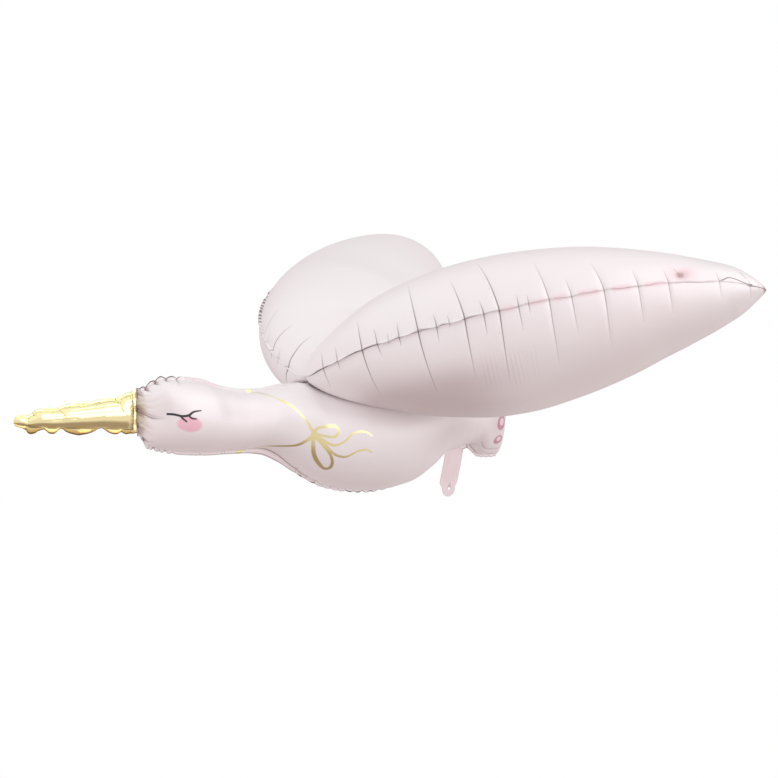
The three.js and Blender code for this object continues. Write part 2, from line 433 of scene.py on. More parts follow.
@dataclass(frozen=True)
class Stroke:
    """A printed line.

    Attributes:
        points: The line, in film coordinates.
        widths: Its half widths, at even shares of its points.
        closed: Whether it is a loop.
    """

    points: tuple[Point, ...]
    widths: tuple[float, ...]
    closed: bool = False

    def field(self, along: np.ndarray, arc: np.ndarray) -> np.ndarray:
        """Offset from the stroke's middle line, in half widths.

        Args:
            along: Distance along the bag.
            arc: Arc from the film's middle line.

        Returns:
            The offset at each place, with its side as the sign.
        """
        line = rounded(self.points)
        offset, share = line_offset(line, along, arc)
        if self.closed:
            offset = np.abs(offset) * np.where(enclosed(line, along, arc), -1, 1)
        width = np.interp(share, np.linspace(0, 1, len(self.widths)), self.widths)
        return np.clip(offset / width, -LINE_REACH, LINE_REACH)

    def span(self) -> Point:
        """First and last distance along the bag that the stroke reaches."""
        places = [x for x, _ in self.points]
        return min(places), max(places)


@dataclass(frozen=True)
class Spot:
    """A printed oval.

    Attributes:
        centre: Its middle, in film coordinates.
        half: Its half length and half height.
        turn: How far it is turned, in degrees.
    """

    centre: Point
    half: Point
    turn: float = 0.0

    def field(self, along: np.ndarray, arc: np.ndarray) -> np.ndarray:
        """Distance outside the oval's edge.

        Args:
            along: Distance along the bag.
            arc: Arc from the film's middle line.

        Returns:
            The distance at each place, negative inside the oval.
        """
        angle = math.radians(self.turn)
        dx, dy = along - self.centre[0], arc - self.centre[1]
        u = (dx * math.cos(angle) + dy * math.sin(angle)) / self.half[0]
        v = (dy * math.cos(angle) - dx * math.sin(angle)) / self.half[1]
        return (np.hypot(u, v) - 1) * min(self.half)


def union(spots: tuple[Spot, ...], along: np.ndarray, arc: np.ndarray) -> np.ndarray:
    """The distance outside several spots at once, kept within reach of their edges."""
    return np.clip(np.min([spot.field(along, arc) for spot in spots], axis=0), -SPOT_REACH, SPOT_REACH)


@dataclass
class Section:
    """The two films of a bag, cut across at every row.

    A place has a height out of the bag's plane and a reach in it, towards the first seam. The arrays made
    here have the shape [film][row][place], with the first seam's rim at place 0 and the second's at the
    last.

    Attributes:
        half_along: Half the distance between the seams, for each row.
        half_across: How far each film swells, for each row.
        flanges: Widths of the two welded edges, for each row.
        across: Places across a film, less one.
        crowding: How much closer the places lie at the seams.
        edge: Half the thickness of a welded edge.
        flange_places: Places on a welded edge.
        stiffness: Share of a fold's depth that the rim of a welded edge withstands.
        reach: Reach of each place.
        height: Height of each place.
        out_reach: Reach of the direction out of the film.
        out_height: Height of that direction.
        arc: Arc across the film, from its middle line towards the first seam.
        flange_share: 0 on the film, growing to 1 at the rim of a welded edge.
    """

    half_along: np.ndarray
    half_across: tuple[np.ndarray, np.ndarray]
    flanges: tuple[np.ndarray, np.ndarray]
    across: int
    crowding: float = 0.075
    edge: float = 0.55
    flange_places: int = 3
    stiffness: float = 0.35
    reach: np.ndarray = field(init=False)
    height: np.ndarray = field(init=False)
    out_reach: np.ndarray = field(init=False)
    out_height: np.ndarray = field(init=False)
    arc: np.ndarray = field(init=False)
    flange_share: np.ndarray = field(init=False)

    def __post_init__(self) -> None:
        """Lay out both films."""
        rows = len(self.half_along)
        shape = (2, rows, self.across + 1)
        inner = self.across - 2 * self.flange_places
        share = np.linspace(0, 1, inner + 1)
        angle = np.pi * (share - self.crowding * np.sin(2 * np.pi * share))
        film = slice(self.flange_places, self.flange_places + inner + 1)
        self.reach, self.height = np.zeros(shape), np.zeros(shape)
        self.out_reach, self.out_height = np.zeros(shape), np.zeros(shape)
        self.flange_share = np.zeros(shape)
        for f in (0, 1):
            along = self.half_along[:, None]
            bulge = self.half_across[f][:, None]
            edge = np.minimum(self.edge, bulge + 0.05)
            self.reach[f, :, film] = along * np.cos(angle)
            self.height[f, :, film] = edge + bulge * np.sin(angle)
            normal = np.stack([bulge * np.cos(angle), along * np.sin(angle)])
            normal /= np.maximum(np.hypot(*normal), 1e-6)
            self.out_reach[f, :, film], self.out_height[f, :, film] = normal
            for end, side in ((Seam.FIRST, 1), (Seam.SECOND, -1)):
                for k in range(self.flange_places):
                    place = k if end == Seam.FIRST else self.across - k
                    out = 1 - k / self.flange_places
                    self.reach[f, :, place] = side * (self.half_along + self.flanges[end] * out)
                    self.height[f, :, place] = edge[:, 0] * (0 if k == 0 else 1)
                    self.out_reach[f, :, place] = side
                    self.flange_share[f, :, place] = out
        step = np.hypot(np.diff(self.reach, axis=2), np.diff(self.height, axis=2))
        run = np.concatenate([np.zeros((2, rows, 1)), np.cumsum(step, axis=2)], axis=2)
        self.arc = run[:, :, self.across // 2, None] - run

    def inward(self, seam: Seam) -> np.ndarray:
        """Distance from a seam into the film.

        Args:
            seam: Which seam.

        Returns:
            The distance at each place, 0 on the welded edge.
        """
        base = self.flange_places if seam == Seam.FIRST else self.across - self.flange_places
        sign = 1 if seam == Seam.FIRST else -1
        return np.maximum(sign * (self.arc[:, :, base, None] - self.arc), 0)

    def push(self, press: np.ndarray) -> None:
        """Press the films in along their normals, and the rims of the welded edges less far.

        Args:
            press: Depth at every place.
        """
        press = press * (1 - self.flange_share * self.stiffness)
        self.reach -= press * self.out_reach
        self.height -= press * self.out_height


# A bag's films with their middle line, direction to the first seam and upward direction
FramedSection = tuple[Section, np.ndarray, np.ndarray, np.ndarray]


@dataclass
class FilmMesh:
    """Two square grids, laid over the places of a bag's films and closed along their rims.

    Attributes:
        places: Where each place lies in the bird.
        layers: The numbers that the finishes read, by name.
    """

    places: np.ndarray
    layers: dict[str, np.ndarray] = field(default_factory=dict)

    def work(self) -> bmesh.types.BMesh:
        """Make the closed mesh of both films.

        Returns:
            The mesh, in metres.
        """
        work = bmesh.new()
        rows, across = self.places.shape[1] - 1, self.places.shape[2] - 1
        for film in (0, 1):
            lifted = Matrix.Translation((0.5, 0.5, film))
            bmesh.ops.create_grid(work, x_segments=rows, y_segments=across, size=0.5, matrix=lifted)
        layers = [(work.verts.layers.float.new(name), values) for name, values in self.layers.items()]
        for vert in work.verts:
            at = (round(vert.co.z), round(vert.co.x * rows), round(vert.co.y * across))
            vert.co = self.places[at] * MM
            for layer, values in layers:
                vert[layer] = values[at]
        rim = [vert for vert in work.verts if vert.is_boundary]
        bmesh.ops.remove_doubles(work, verts=rim, dist=1e-6)
        bmesh.ops.recalc_face_normals(work, faces=work.faces)
        return work


def finished(
    name: str, work: bmesh.types.BMesh, material: bpy.types.Material
) -> bpy.types.Object:
    """Turn a mesh into a smooth, dressed piece that rides on the root.

    Args:
        name: The piece's name.
        work: Its mesh, which is freed.
        material: Its finish.

    Returns:
        The piece.
    """
    mesh = bpy.data.meshes.new(name)
    work.to_mesh(mesh)
    work.free()
    mesh.polygons.foreach_set("use_smooth", [True] * len(mesh.polygons))
    mesh.materials.append(material)
    piece = bpy.data.objects.new(name, mesh)
    bpy.context.scene.collection.objects.link(piece)
    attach(piece, "root")
    log.info("%s: %d faces, %d vertices", name, len(mesh.polygons), len(mesh.vertices))
    return piece


class Shade:
    """A number socket that makes Math nodes when it is used in an expression."""

    def __init__(self, tree: "Tree", socket: bpy.types.NodeSocket) -> None:
        """Keep the node tree and the socket."""
        self.tree = tree
        self.socket = socket

    def math(self, operation: str, *others: "Shade | float") -> "Shade":
        """Combine this number with others.

        Args:
            operation: The Math node's operation.
            others: The other inputs.

        Returns:
            The result.
        """
        inputs = dict(enumerate((self, *others)))
        node = self.tree.node("ShaderNodeMath", {"operation": operation}, inputs)
        return Shade(self.tree, node.outputs[0])

    def __add__(self, other: "Shade | float") -> "Shade":
        """Sum."""
        return self.math("ADD", other)

    __radd__ = __add__

    def __mul__(self, other: "Shade | float") -> "Shade":
        """Product."""
        return self.math("MULTIPLY", other)

    __rmul__ = __mul__

    def __sub__(self, other: "Shade | float") -> "Shade":
        """Difference."""
        return self.math("SUBTRACT", other)

    def __rsub__(self, other: float) -> "Shade":
        """Difference from a number, so that 1 - mask works."""
        node = self.tree.node("ShaderNodeMath", {"operation": "SUBTRACT"}, {0: other, 1: self})
        return Shade(self.tree, node.outputs[0])

    def between(self, low: float, high: float) -> "Shade":
        """Ease from 0 at low to 1 at high.

        Args:
            low: Where the easing starts, which may be the larger of the two.
            high: Where it ends.

        Returns:
            The eased number.
        """
        inputs = {"Value": self, "From Min": low, "From Max": high}
        settings = {"interpolation_type": "SMOOTHSTEP", "clamp": True}
        return Shade(self.tree, self.tree.node("ShaderNodeMapRange", settings, inputs).outputs[0])


class Tree:
    """A node tree and the one method that adds nodes to it."""

    def __init__(self, tree: bpy.types.NodeTree) -> None:
        """Empty the tree."""
        self.tree = tree
        tree.nodes.clear()

    def node(
        self, kind: str, settings: dict[str, object], inputs: dict[int | str, object]
    ) -> bpy.types.Node:
        """Add a node.

        Args:
            kind: The node's type.
            settings: Its properties, set first.
            inputs: Values or links of its sockets, by name or number.

        Returns:
            The node.
        """
        node = self.tree.nodes.new(kind)
        for name, value in settings.items():
            setattr(node, name, value)
        for name, value in inputs.items():
            if isinstance(value, Shade):
                value = value.socket
            if isinstance(value, bpy.types.NodeSocket):
                self.tree.links.new(value, node.inputs[name])
            else:
                node.inputs[name].default_value = value
        return node

    def attribute(self, name: str) -> Shade:
        """The number that a mesh carries under a name."""
        return Shade(self, self.node("ShaderNodeAttribute", {"attribute_name": name}, {}).outputs["Fac"])

    def noise(self, scale: float, detail: float, stretch: Triple = (1, 1, 1)) -> Shade:
        """Soft noise on Object coordinates, around 0.5.

        Args:
            scale: Patches in a metre.
            detail: Finer layers.
            stretch: Factor on each axis.

        Returns:
            The noise.
        """
        place = self.node("ShaderNodeTexCoord", {}, {}).outputs["Object"]
        mapping = self.node("ShaderNodeMapping", {}, {"Vector": place, "Scale": stretch})
        inputs = {"Vector": mapping.outputs[0], "Scale": scale, "Detail": detail}
        return Shade(self, self.node("ShaderNodeTexNoise", {}, inputs).outputs[0])

    def lines(self, width: float) -> Shade:
        """Cover of the thin shadow lines that a film carries.

        Args:
            width: Half the width of a line, in millimetres.

        Returns:
            The cover, from 0 to 1.
        """
        cover = []
        for name in LINE_SETS:
            offset = self.attribute(f"{name}_offset").math("ABSOLUTE")
            cover.append(offset.between(width * 1.35, width * 0.35) * self.attribute(f"{name}_strength"))
        return cover[0].math("MAXIMUM", cover[1])

    def mix(self, factor: Shade | float, first: object, second: object) -> bpy.types.NodeSocket:
        """Mix two colours.

        Args:
            factor: Share of the second.
            first: A colour or a colour socket.
            second: A colour or a colour socket.

        Returns:
            The mixed colour.
        """
        inputs = {0: factor, 6: first, 7: second}
        return self.node("ShaderNodeMix", {"data_type": "RGBA"}, inputs).outputs[2]

    def film(self, looks: dict[str, object], crumple: Shade, strength: float, depth: float) -> None:
        """Finish a film's material with its bumps and its surface.

        Args:
            looks: Inputs of the surface, by name.
            crumple: The pattern of the bumps.
            strength: How strong the bumps are.
            depth: How high they are, in metres.
        """
        bumps = {"Strength": strength, "Distance": depth, "Height": crumple}
        normal = self.node("ShaderNodeBump", {}, bumps).outputs[0]
        shader = self.node("ShaderNodeBsdfPrincipled", {}, {**looks, "Normal": normal})
        self.node("ShaderNodeOutputMaterial", {}, {"Surface": shader.outputs[0]})


def new_material(name: str) -> tuple[bpy.types.Material, Tree]:
    """Make an empty material.

    Args:
        name: Its name.

    Returns:
        The material and its nodes.
    """
    material = bpy.data.materials.new(name)
    material.use_nodes = True
    return material, Tree(material.node_tree)


@dataclass(frozen=True)
class PearlFilm:
    """Satin pearl pink metallised film, with the prints of the piece that it covers."""

    name: str
    base: Colour = (0.86, 0.82, 0.83, 1.0)
    warm: Colour = (0.86, 0.80, 0.812, 1.0)
    # Colour of the painted shade in folds, beside and under the wings, at the weld and in soft patches
    fold: Colour = (0.30, 0.18, 0.18, 1.0)
    # Colour of the painted shadow lines along folds and seams
    ink: Colour = (0.09, 0.045, 0.05, 1.0)
    # Pink tint on the body's welded edges and the right wing's tip, and painted pink shade on the left wing
    pink_tint_and_shade: Colour = (0.80, 0.53, 0.57, 1.0)
    lash: Colour = (0.035, 0.03, 0.035, 1.0)
    cheek: Colour = (0.87, 0.44, 0.54, 1.0)
    plume: Colour = (0.52, 0.17, 0.25, 1.0)
    core: Colour = (0.86, 0.72, 0.75, 1.0)
    gold: Colour = (0.76, 0.69, 0.38, 1.0)
    roughness: float = 0.42
    metallic: float = 0.12
    line: float = 1.3
    strokes: tuple[tuple[str, Stroke], ...] = ()

    def build(self) -> bpy.types.Material:
        """Make the material.

        Returns:
            The material.
        """
        material, tree = new_material(self.name)
        drift = tree.noise(3.0, 1.0)
        colour = tree.mix(drift.between(0.35, 0.65), self.base, self.warm)
        # Pink tint, and painted pink shade on the left wing
        colour = tree.mix(tree.attribute("pink_tint_and_shade") * 0.6, colour, self.pink_tint_and_shade)
        # Painted shade, from the depth of folds and from patches of painted shadow
        colour = tree.mix(tree.attribute("fold").between(0.15, 1.0) * 0.72, colour, self.fold)
        metallic = self.metallic
        roughness = drift * 0.06 + (self.roughness - 0.03)
        if self.strokes:
            grain = tree.noise(110.0, 1.0, (0.2, 1, 1.6))
            cheek = tree.attribute("cheek").between(3.0, -3.5) * (0.5 + grain * 0.6)
            colour = tree.mix(cheek, colour, self.cheek)
            colour = tree.mix(tree.attribute("plume").between(0.9, -0.9) * 0.8, colour, self.plume)
            colour = tree.mix(tree.attribute("core").between(0.9, -0.9) * 0.9, colour, self.core)
            gold = self.inked(tree, [pair for pair in self.strokes if not pair[0].startswith("lash")])
            gold = gold.math("MAXIMUM", tree.attribute("knot").between(0.5, -0.5))
            lash = self.inked(tree, [pair for pair in self.strokes if pair[0].startswith("lash")])
            colour = tree.mix(gold, colour, self.gold)
            colour = tree.mix(lash, colour, self.lash)
            metallic = gold * (0.92 - self.metallic) + self.metallic
            roughness = roughness - gold * 0.14
        # Painted shadow lines along folds and seams
        colour = tree.mix(tree.lines(self.line) * 0.85, colour, self.ink)
        looks = {"Base Color": colour, "Roughness": roughness, "Metallic": metallic}
        tree.film(looks, tree.noise(26.0, 3.0), 0.10, 0.002)
        return material

    @staticmethod
    def inked(tree: Tree, strokes: list[tuple[str, Stroke]]) -> Shade:
        """Cover of printed strokes, from their offsets in half widths.

        Args:
            tree: The material's nodes.
            strokes: The strokes and the names of their layers.

        Returns:
            The cover, from 0 to 1.
        """
        station = tree.attribute("station")
        whole = None
        for name, stroke in strokes:
            cover = tree.attribute(name).math("ABSOLUTE").between(1.15, 0.85)
            if not stroke.closed:
                low, high = stroke.span()
                cover = cover * station.between(low - 0.8, low + 0.4)
                cover = cover * station.between(high + 0.8, high - 0.4)
            whole = cover if whole is None else whole.math("MAXIMUM", cover)
        return whole


@dataclass(frozen=True)
class GoldFilm:
    """Mirror gold metallised film."""

    name: str
    base: Colour = (0.89, 0.815, 0.45, 1.0)
    # Colour of the painted shade in the folds
    fold: Colour = (0.38, 0.24, 0.06, 1.0)
    # Colour of the painted shadow lines
    ink: Colour = (0.26, 0.18, 0.05, 1.0)
    # Painted orange reflection and shade on the lobes of the bottom welded edge
    lobe: Colour = (0.60, 0.39, 0.11, 1.0)
    roughness: float = 0.11

    def build(self) -> bpy.types.Material:
        """Make the material.

        Returns:
            The material.
        """
        material, tree = new_material(self.name)
        crinkle = tree.noise(38.0, 3.0, (0.5, 1, 1))
        # Painted shade in the folds
        colour = tree.mix(tree.attribute("fold").between(0.2, 1.0) * 0.6, self.base, self.fold)
        # Painted orange reflection and shade on the lobes
        colour = tree.mix(tree.attribute("lobe").between(0.0, 0.6) * 0.88, colour, self.lobe)
        # Painted shadow lines along folds and seams
        colour = tree.mix(tree.lines(1.1) * 0.75, colour, self.ink)
        roughness = crinkle * 0.08 + (self.roughness - 0.04)
        looks = {"Base Color": colour, "Roughness": roughness, "Metallic": 1.0}
        tree.film(looks, crinkle, 0.16, 0.003)
        return material


@dataclass
class BodyFilm:
    """Head, neck, belly and tail, as one bag whose welded edge lies in the plane of symmetry."""

    weld: Vector = field(default_factory=lambda: WELD)
    length: float = BODY_LENGTH
    across: int = 106
    # Width of the welded edge on top, and its width where the wings cover it
    flange: float = 7.0
    hidden_flange: float = 0.6
    # Depth of a fold that lies in full shadow, and how far a shadow line fades
    deep: float = 9.0
    line_fade: float = 5.0
    # Deepest shade of the gathers at the weld, and how much of it lies between two gathers
    gathers: Point = (0.9, 0.5)
    # First and last station of the painted shadow specks along the belly's welded edge
    painted_shadow_specks: Rows = ((404, 416), (438, 452), (534, 552), (560, 577), (597, 611))
    # Distance behind the weld, in thousandths of the length, then the height of the rim and the half width
    top: Rows = (
        (0, 48), (22, 56), (57, 71), (96, 68), (150, 59), (200, 41), (255, 29), (300, 27), (360, 34),
        (400, 34), (425, 31), (450, 36), (520, 48), (620, 43), (720, 26), (800, 8), (865, -7), (900, -5),
        (935, 11), (965, 13), (986, -22), (997, -58), (1000, -80),
    )
    bottom: Rows = (
        (0, -56), (22, -87), (60, -99), (110, -107), (165, -113), (255, -116), (300, -122), (345, -142),
        (400, -178), (464, -213), (530, -231), (600, -239), (680, -230), (735, -204), (785, -171),
        (832, -161), (880, -161), (915, -183), (965, -187), (986, -152), (997, -114), (1000, -90),
    )
    half_width: Rows = (
        (0, 0), (12, 30), (30, 50), (60, 68), (100, 79), (150, 80), (200, 71), (255, 66), (300, 67),
        (360, 86), (425, 112), (530, 134), (600, 136), (680, 126), (735, 114), (790, 95), (835, 80),
        (880, 68), (920, 56), (955, 40), (980, 22), (994, 0), (1000, 0),
    )
    # Ends of stretches along the body, and the distance between rows there
    stretches: Rows = ((135, 1.55), (230, 2.2), (530, 1.95), (880, 3.3), (1006, 1.8))
    # Distance behind the weld, then the width of the bottom welded edge, which is a web under the neck
    web: Rows = (
        (0, 7), (140, 8), (250, 8), (300, 15), (335, 18), (370, 14), (420, 8), (450, 7), (815, 7),
        (845, 9), (866, 14), (886, 13), (908, 9), (930, 7), (1006, 7),
    )

    # Centre and half sizes of the patches of painted soft shade on the head, the rump and the tail, and how
    # dark they are
    painted_shade_patches: tuple[tuple[Point, Point, float], ...] = (
        ((44, 24), (46, 44), 0.38),
        ((770, 0), (150, 90), 0.46),
        ((945, -10), (70, 120), 0.42),
    )

    def stations(self) -> np.ndarray:
        """Lay out the body's rows.

        Returns:
            Their distances behind the beak weld.
        """
        found, start = [], 0.0
        for end, step in self.stretches:
            found.append(np.linspace(start, end, round((end - start) / step), endpoint=False))
            start = end
        return np.concatenate([*found, [self.length]])

    def outline(self, station: np.ndarray) -> tuple[np.ndarray, np.ndarray, np.ndarray]:
        """Top, bottom and half width of the body at distances behind the weld."""
        scale = self.length / 1000
        return tuple(curve(rows, station, scale) for rows in (self.top, self.bottom, self.half_width))

    def flanges(self, station: np.ndarray) -> tuple[np.ndarray, np.ndarray]:
        """Widths of the top and bottom welded edge, with the flat web under the neck.

        Args:
            station: Distances behind the weld.

        Returns:
            The two widths at each distance.
        """
        top, bottom, _ = self.outline(station)
        most = (top - bottom) / 4
        hidden = plateau((WING_STATION - 70, WING_STATION - 8), (760, 790), station)
        upper = self.flange + (self.hidden_flange - self.flange) * hidden
        return np.minimum(upper, most), np.minimum(curve(self.web, station), most)

    @staticmethod
    def creases() -> SeamCreases:
        """Folds that leave the top and the bottom seam."""
        crown = (
            Crease(9, 16, 5, 4, 0, 0.5), Crease(22, 30, 12, 6.5, 3, 0.6), Crease(33, 12, 2, 3, 0, 0.2),
            Crease(45, 28, 11, 7, 0, 0.6), Crease(58, 12, 1.6, 3, 0, 0.2), Crease(71, 26, 10, 7, -4, 0.6),
            Crease(97, 42, 8, 5, -12, 0.55), Crease(118, 26, 2.2, 5, 6, 0.3),
            Crease(138, 20, 1.2, 6, 0, 0.3),
        )
        # Place, reach and depth of the folds at the chin, and then of those at the belly
        chin_places = (
            (6, 16, 6), (14, 34, 12), (27, 18, 6), (38, 38, 13), (52, 22, 7), (66, 34, 10), (84, 26, 6),
        )
        chin = tuple(Crease(at, reach, depth, 4.4, 14, 0.3) for at, reach, depth in chin_places)
        neck = (Crease(152, 24, 1.5, 5), Crease(206, 40, 1.2, 4, 3), Crease(214, 34, 1.4, 3, 2))
        belly_places = (
            (398, 30, 3.5), (424, 22, 3), (449, 34, 4.5), (470, 20, 3), (492, 40, 5), (513, 24, 4),
            (534, 40, 6.5), (557, 26, 5), (580, 44, 7.5), (603, 28, 5.5), (627, 40, 7.5), (652, 26, 5),
            (676, 36, 6), (704, 22, 4), (738, 30, 3.5), (770, 20, 2.5),
        )
        belly = tuple(Crease(at, reach, depth, 5.5, -reach / 4, 0.4) for at, reach, depth in belly_places)
        rump = (
            Crease(800, 74, 4.5, 7, -44, 0.3), Crease(886, 46, 7, 7, 26, 0.5),
            Crease(905, 24, 2.5, 4, 8, 0.4),
        )
        tail_places = enumerate((922, 938, 953, 968, 981))
        tail = tuple(Crease(at, 16 + 6 * (k % 2), 3.6, 4.5, -3, 0.3) for k, at in tail_places)
        back_places = enumerate((812, 838, 862, 884, 903))
        back = tuple(Crease(at, 22 + 8 * (k % 3), 3.2, 5, 3) for k, at in back_places)
        return (Seam.FIRST, crown + back + tail), (Seam.SECOND, chin + neck + belly + rump + tail)

    @staticmethod
    def folds() -> tuple[Fold, ...]:
        """Folds that leave no seam: the gathers behind the beak weld, and one at the tail's lobe."""
        weld = (
            Fold(((-3, -1), (10, 0), (26, 0), (46, -1)), 8.0, 5.6, 0.6),
            Fold(((-3, 12), (12, 19), (30, 27)), 2.6, 3.0, 0.18),
            Fold(((-3, 20), (12, 31), (34, 45), (58, 50)), 2.2, 3.0, 0.1),
            Fold(((-3, 30), (10, 43), (30, 60)), 2.4, 3.0, 0.14),
            Fold(((-3, 3), (12, 6), (34, 10)), 2.4, 3.0, 0.22),
            Fold(((-3, -20), (10, -23), (24, -25)), 2.6, 3.0, 0.2),
            Fold(((-3, -30), (10, -37), (26, -44)), 2.6, 3.0, 0.12),
            Fold(((-3, -42), (8, -52), (22, -64), (38, -72)), 3.4, 3.6, 0.25),
            Fold(((4, 26), (22, 42), (52, 62)), 1.2, 2.6, 0.05),
            Fold(((4, 16), (24, 26), (60, 32)), 1.2, 2.6, 0.05),
            Fold(((6, 36), (18, 54), (38, 74)), 1.2, 2.6, 0.05),
            Fold(((2, -50), (16, -68), (34, -82)), 3.4, 4.0, 0.25),
        )
        tail = (Fold(((900, -62), (915, -73), (938, -80), (964, -79), (984, -71)), 2.6, 3.4, 0.5),)
        return weld + tail

    @staticmethod
    def ripples() -> tuple[Ripples, ...]:
        """Fine ripples on the neck, behind the beak weld and on the rump."""
        return (
            Ripples((196, 250), (-100, -52), 6.0, 0.7),
            Ripples((8, 66), (14, 74), 4.6, 0.35),
            Ripples((660, 790), (-60, 40), 11.0, 0.25),
        )

    @staticmethod
    def strokes() -> dict[str, Stroke]:
        """Printed lines, the same on both films, by the name of their layer."""
        knot = (388, -9)
        return {
            "lash": Stroke(
                ((42, 9), (58, 7), (72, 5), (86, 8), (97, 16), (116, 20)),
                (2.3, 2.6, 2.5, 2.6, 2.2, 1.2),
            ),
            "lash_near": Stroke(((67, 6), (74, -1), (82, -7)), (2.2, 2.1, 1.5)),
            "lash_far": Stroke(((85, 8), (92, 2), (104, 1)), (2.2, 2.1, 1.2)),
            "strand": Stroke(
                (
                    (270, 112), (277, 104), (287, 96), (301, 84), (323, 61), (338, 51), (353, 40),
                    (372, 21), (381, 5), knot, (371, -33), (354, -51), (325, -65), (300, -71), (283, -75),
                    (271, -84), (262, -98), (253, -106), (243, -110),
                ),
                (
                    3.4, 4.6, 4.0, 2.2, 1.7, 4.6, 3.8, 2.6, 3.2, 4.4, 3.0, 2.8, 3.2, 3.4, 3.6, 3.8,
                    5.5, 7.0, 4.5,
                ),
            ),
            "loop_over": Stroke(
                (
                    knot, (390, -1), (397, 8), (410, 15), (425, 22), (434, 25), (441, 20), (441, 10),
                    (434, 1), (420, -4), (402, -7), knot,
                ),
                (4.4, 3.4, 3.0, 3.4, 3.8, 3.4, 3.2, 3.4, 3.4, 3.0, 3.4, 4.4),
                closed=True,
            ),
            "loop_under": Stroke(
                (
                    knot, (389, -30), (394, -52), (404, -70), (417, -83), (428, -88), (437, -79), (436, -62),
                    (427, -44), (408, -27), knot,
                ),
                (4.4, 4.0, 4.4, 4.8, 4.8, 4.2, 3.8, 3.4, 3.2, 3.8, 4.4),
                closed=True,
            ),
            "end_over": Stroke(
                ((390, -10), (410, -17), (432, -20), (452, -11), (473, 9), (494, 15), (510, 12), (520, 5)),
                (4.4, 3.8, 3.4, 2.3, 2.5, 2.8, 2.4, 1.8),
            ),
            "end_under": Stroke(
                (
                    (392, -12), (413, -25), (436, -41), (461, -45), (486, -31), (503, -27), (514, -29),
                    (523, -35),
                ),
                (4.4, 3.8, 3.2, 2.8, 2.6, 2.5, 2.4, 1.8),
            ),
        }

    @staticmethod
    def spots() -> dict[str, tuple[Spot, ...]]:
        """Printed spots, the same on both films, by the name of their layer."""
        plumes = ((962, -10, 21, 18), (954, -52, 19, 11), (957, 37, 18, 16), (948, 80, 14, 13))
        return {
            "cheek": (Spot((89, -12), (27.5, 17)),),
            "knot": (Spot((389, -10), (7, 8)),),
            "plume": tuple(Spot((x, y), (a, b), 8) for x, y, a, b in plumes),
            "core": tuple(Spot((x + 2, y + 2), (a * 0.52, b * 0.52), 8) for x, y, a, b in plumes),
        }

    def build(self) -> bpy.types.Object:
        """Make the bag and dress it.

        Returns:
            The piece.
        """
        station = self.stations()
        top, bottom, half_width = self.outline(station)
        flanges = self.flanges(station)
        half_along, middle = bag_middle((top, bottom), flanges)
        section = Section(half_along, (half_width, half_width), flanges, self.across)
        along = np.broadcast_to(station[None, :, None], section.arc.shape)
        relief = Relief(section.arc.shape, self.line_fade)
        relief.fold_in(section, along, self.creases(), self.folds())
        for ripples in self.ripples():
            relief.press = np.maximum(relief.press, ripples.press(along, section.arc))
        self.edge_lines(relief, section, along)
        relief.press *= plateau((0, 5), (self.length - 8, self.length), along)
        layers = relief.layers(self.deep)
        # Painted shade in the corner above the filling tab
        painted_nook_shade = plateau((824, 842), (872, 892), along) * (section.flange_share == 0)
        darken(layers, painted_nook_shade * (1 - smooth(0, 20, section.inward(Seam.SECOND))))
        # Painted shade in the gathers just behind the weld
        most, between = self.gathers
        painted_gather_shade = between + (1 - between) * (np.sin(section.arc / 7 + 1) > 0)
        darken(layers, smooth(17, 2, along) * most * painted_gather_shade)
        # Patches of painted soft shade on the head, the rump under the wings and the tail
        for centre, half, depth in self.painted_shade_patches:
            darken(layers, depth * blob(along, section.arc, centre, half))
        layers["station"] = along
        layers["pink_tint_and_shade"] = self.pink_tint_and_shade(along, section)
        for name, stroke in self.strokes().items():
            layers[name] = stroke.field(along, section.arc)
        for name, spots in self.spots().items():
            layers[name] = union(spots, along, section.arc)
        section.push(relief.press)
        height = section.height * plateau((0, 3), (self.length - 2, self.length), along)
        upright = middle[None, :, None] + section.reach
        places = np.stack([along, SIDES * np.maximum(height, 0), upright], axis=-1) + np.array(self.weld)
        finish = PearlFilm("pearl_film_printed", strokes=tuple(self.strokes().items())).build()
        piece = finished("body_film", FilmMesh(places, layers).work(), finish)
        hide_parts("body")
        return piece

    def edge_lines(self, relief: Relief, section: Section, along: np.ndarray) -> None:
        """Draw the shadow lines where the welded edges leave the bag.

        Args:
            relief: The relief that gets the lines.
            section: The bag's films.
            along: Distance along the bag at each place.
        """
        under = section.inward(Seam.SECOND)
        film = section.flange_share == 0
        web = plateau((262, 330), (405, 450), along)
        corner = plateau((822, 840), (915, 932), along)
        relief.rule(under - 1.5, np.maximum(web * 0.8, corner * 0.7) * film)
        rim = (1 - section.flange_share) * self.flange - 1.0
        # Painted shadow specks along the belly's welded edge
        for low, high in self.painted_shadow_specks:
            window = plateau((low, low + 3), (high - 3, high), along)
            relief.rule(rim, 1.2 * window * (under < 0.5))
        upper = section.inward(Seam.FIRST)
        scallops = np.abs(np.sin(np.pi * (along - 22) / 24.5)) ** 0.5
        lobes = plateau((3, 9), (98, 110), along) * scallops
        relief.rule(rim, 1.2 * lobes * (upper < 0.5))
        weld = smooth(7.0, 1.5, along) * (0.35 + 0.65 * (np.sin(section.arc / 5.2 + 0.8) > 0.35))
        relief.rule(along - 1.9, weld)

    @staticmethod
    def pink_tint_and_shade(along: np.ndarray, section: Section) -> np.ndarray:
        """Pink tint on the welded edge behind the crown and under the neck.

        Args:
            along: Distance along the bag at each place.
            section: The bag's films.

        Returns:
            The tint at each place.
        """
        top = plateau((112, 130), (180, 215), along) * (section.inward(Seam.FIRST) < 1.0)
        web = plateau((262, 300), (410, 460), along) * (section.inward(Seam.SECOND) < 1.0)
        return np.maximum(top * 0.45, web * 0.3)


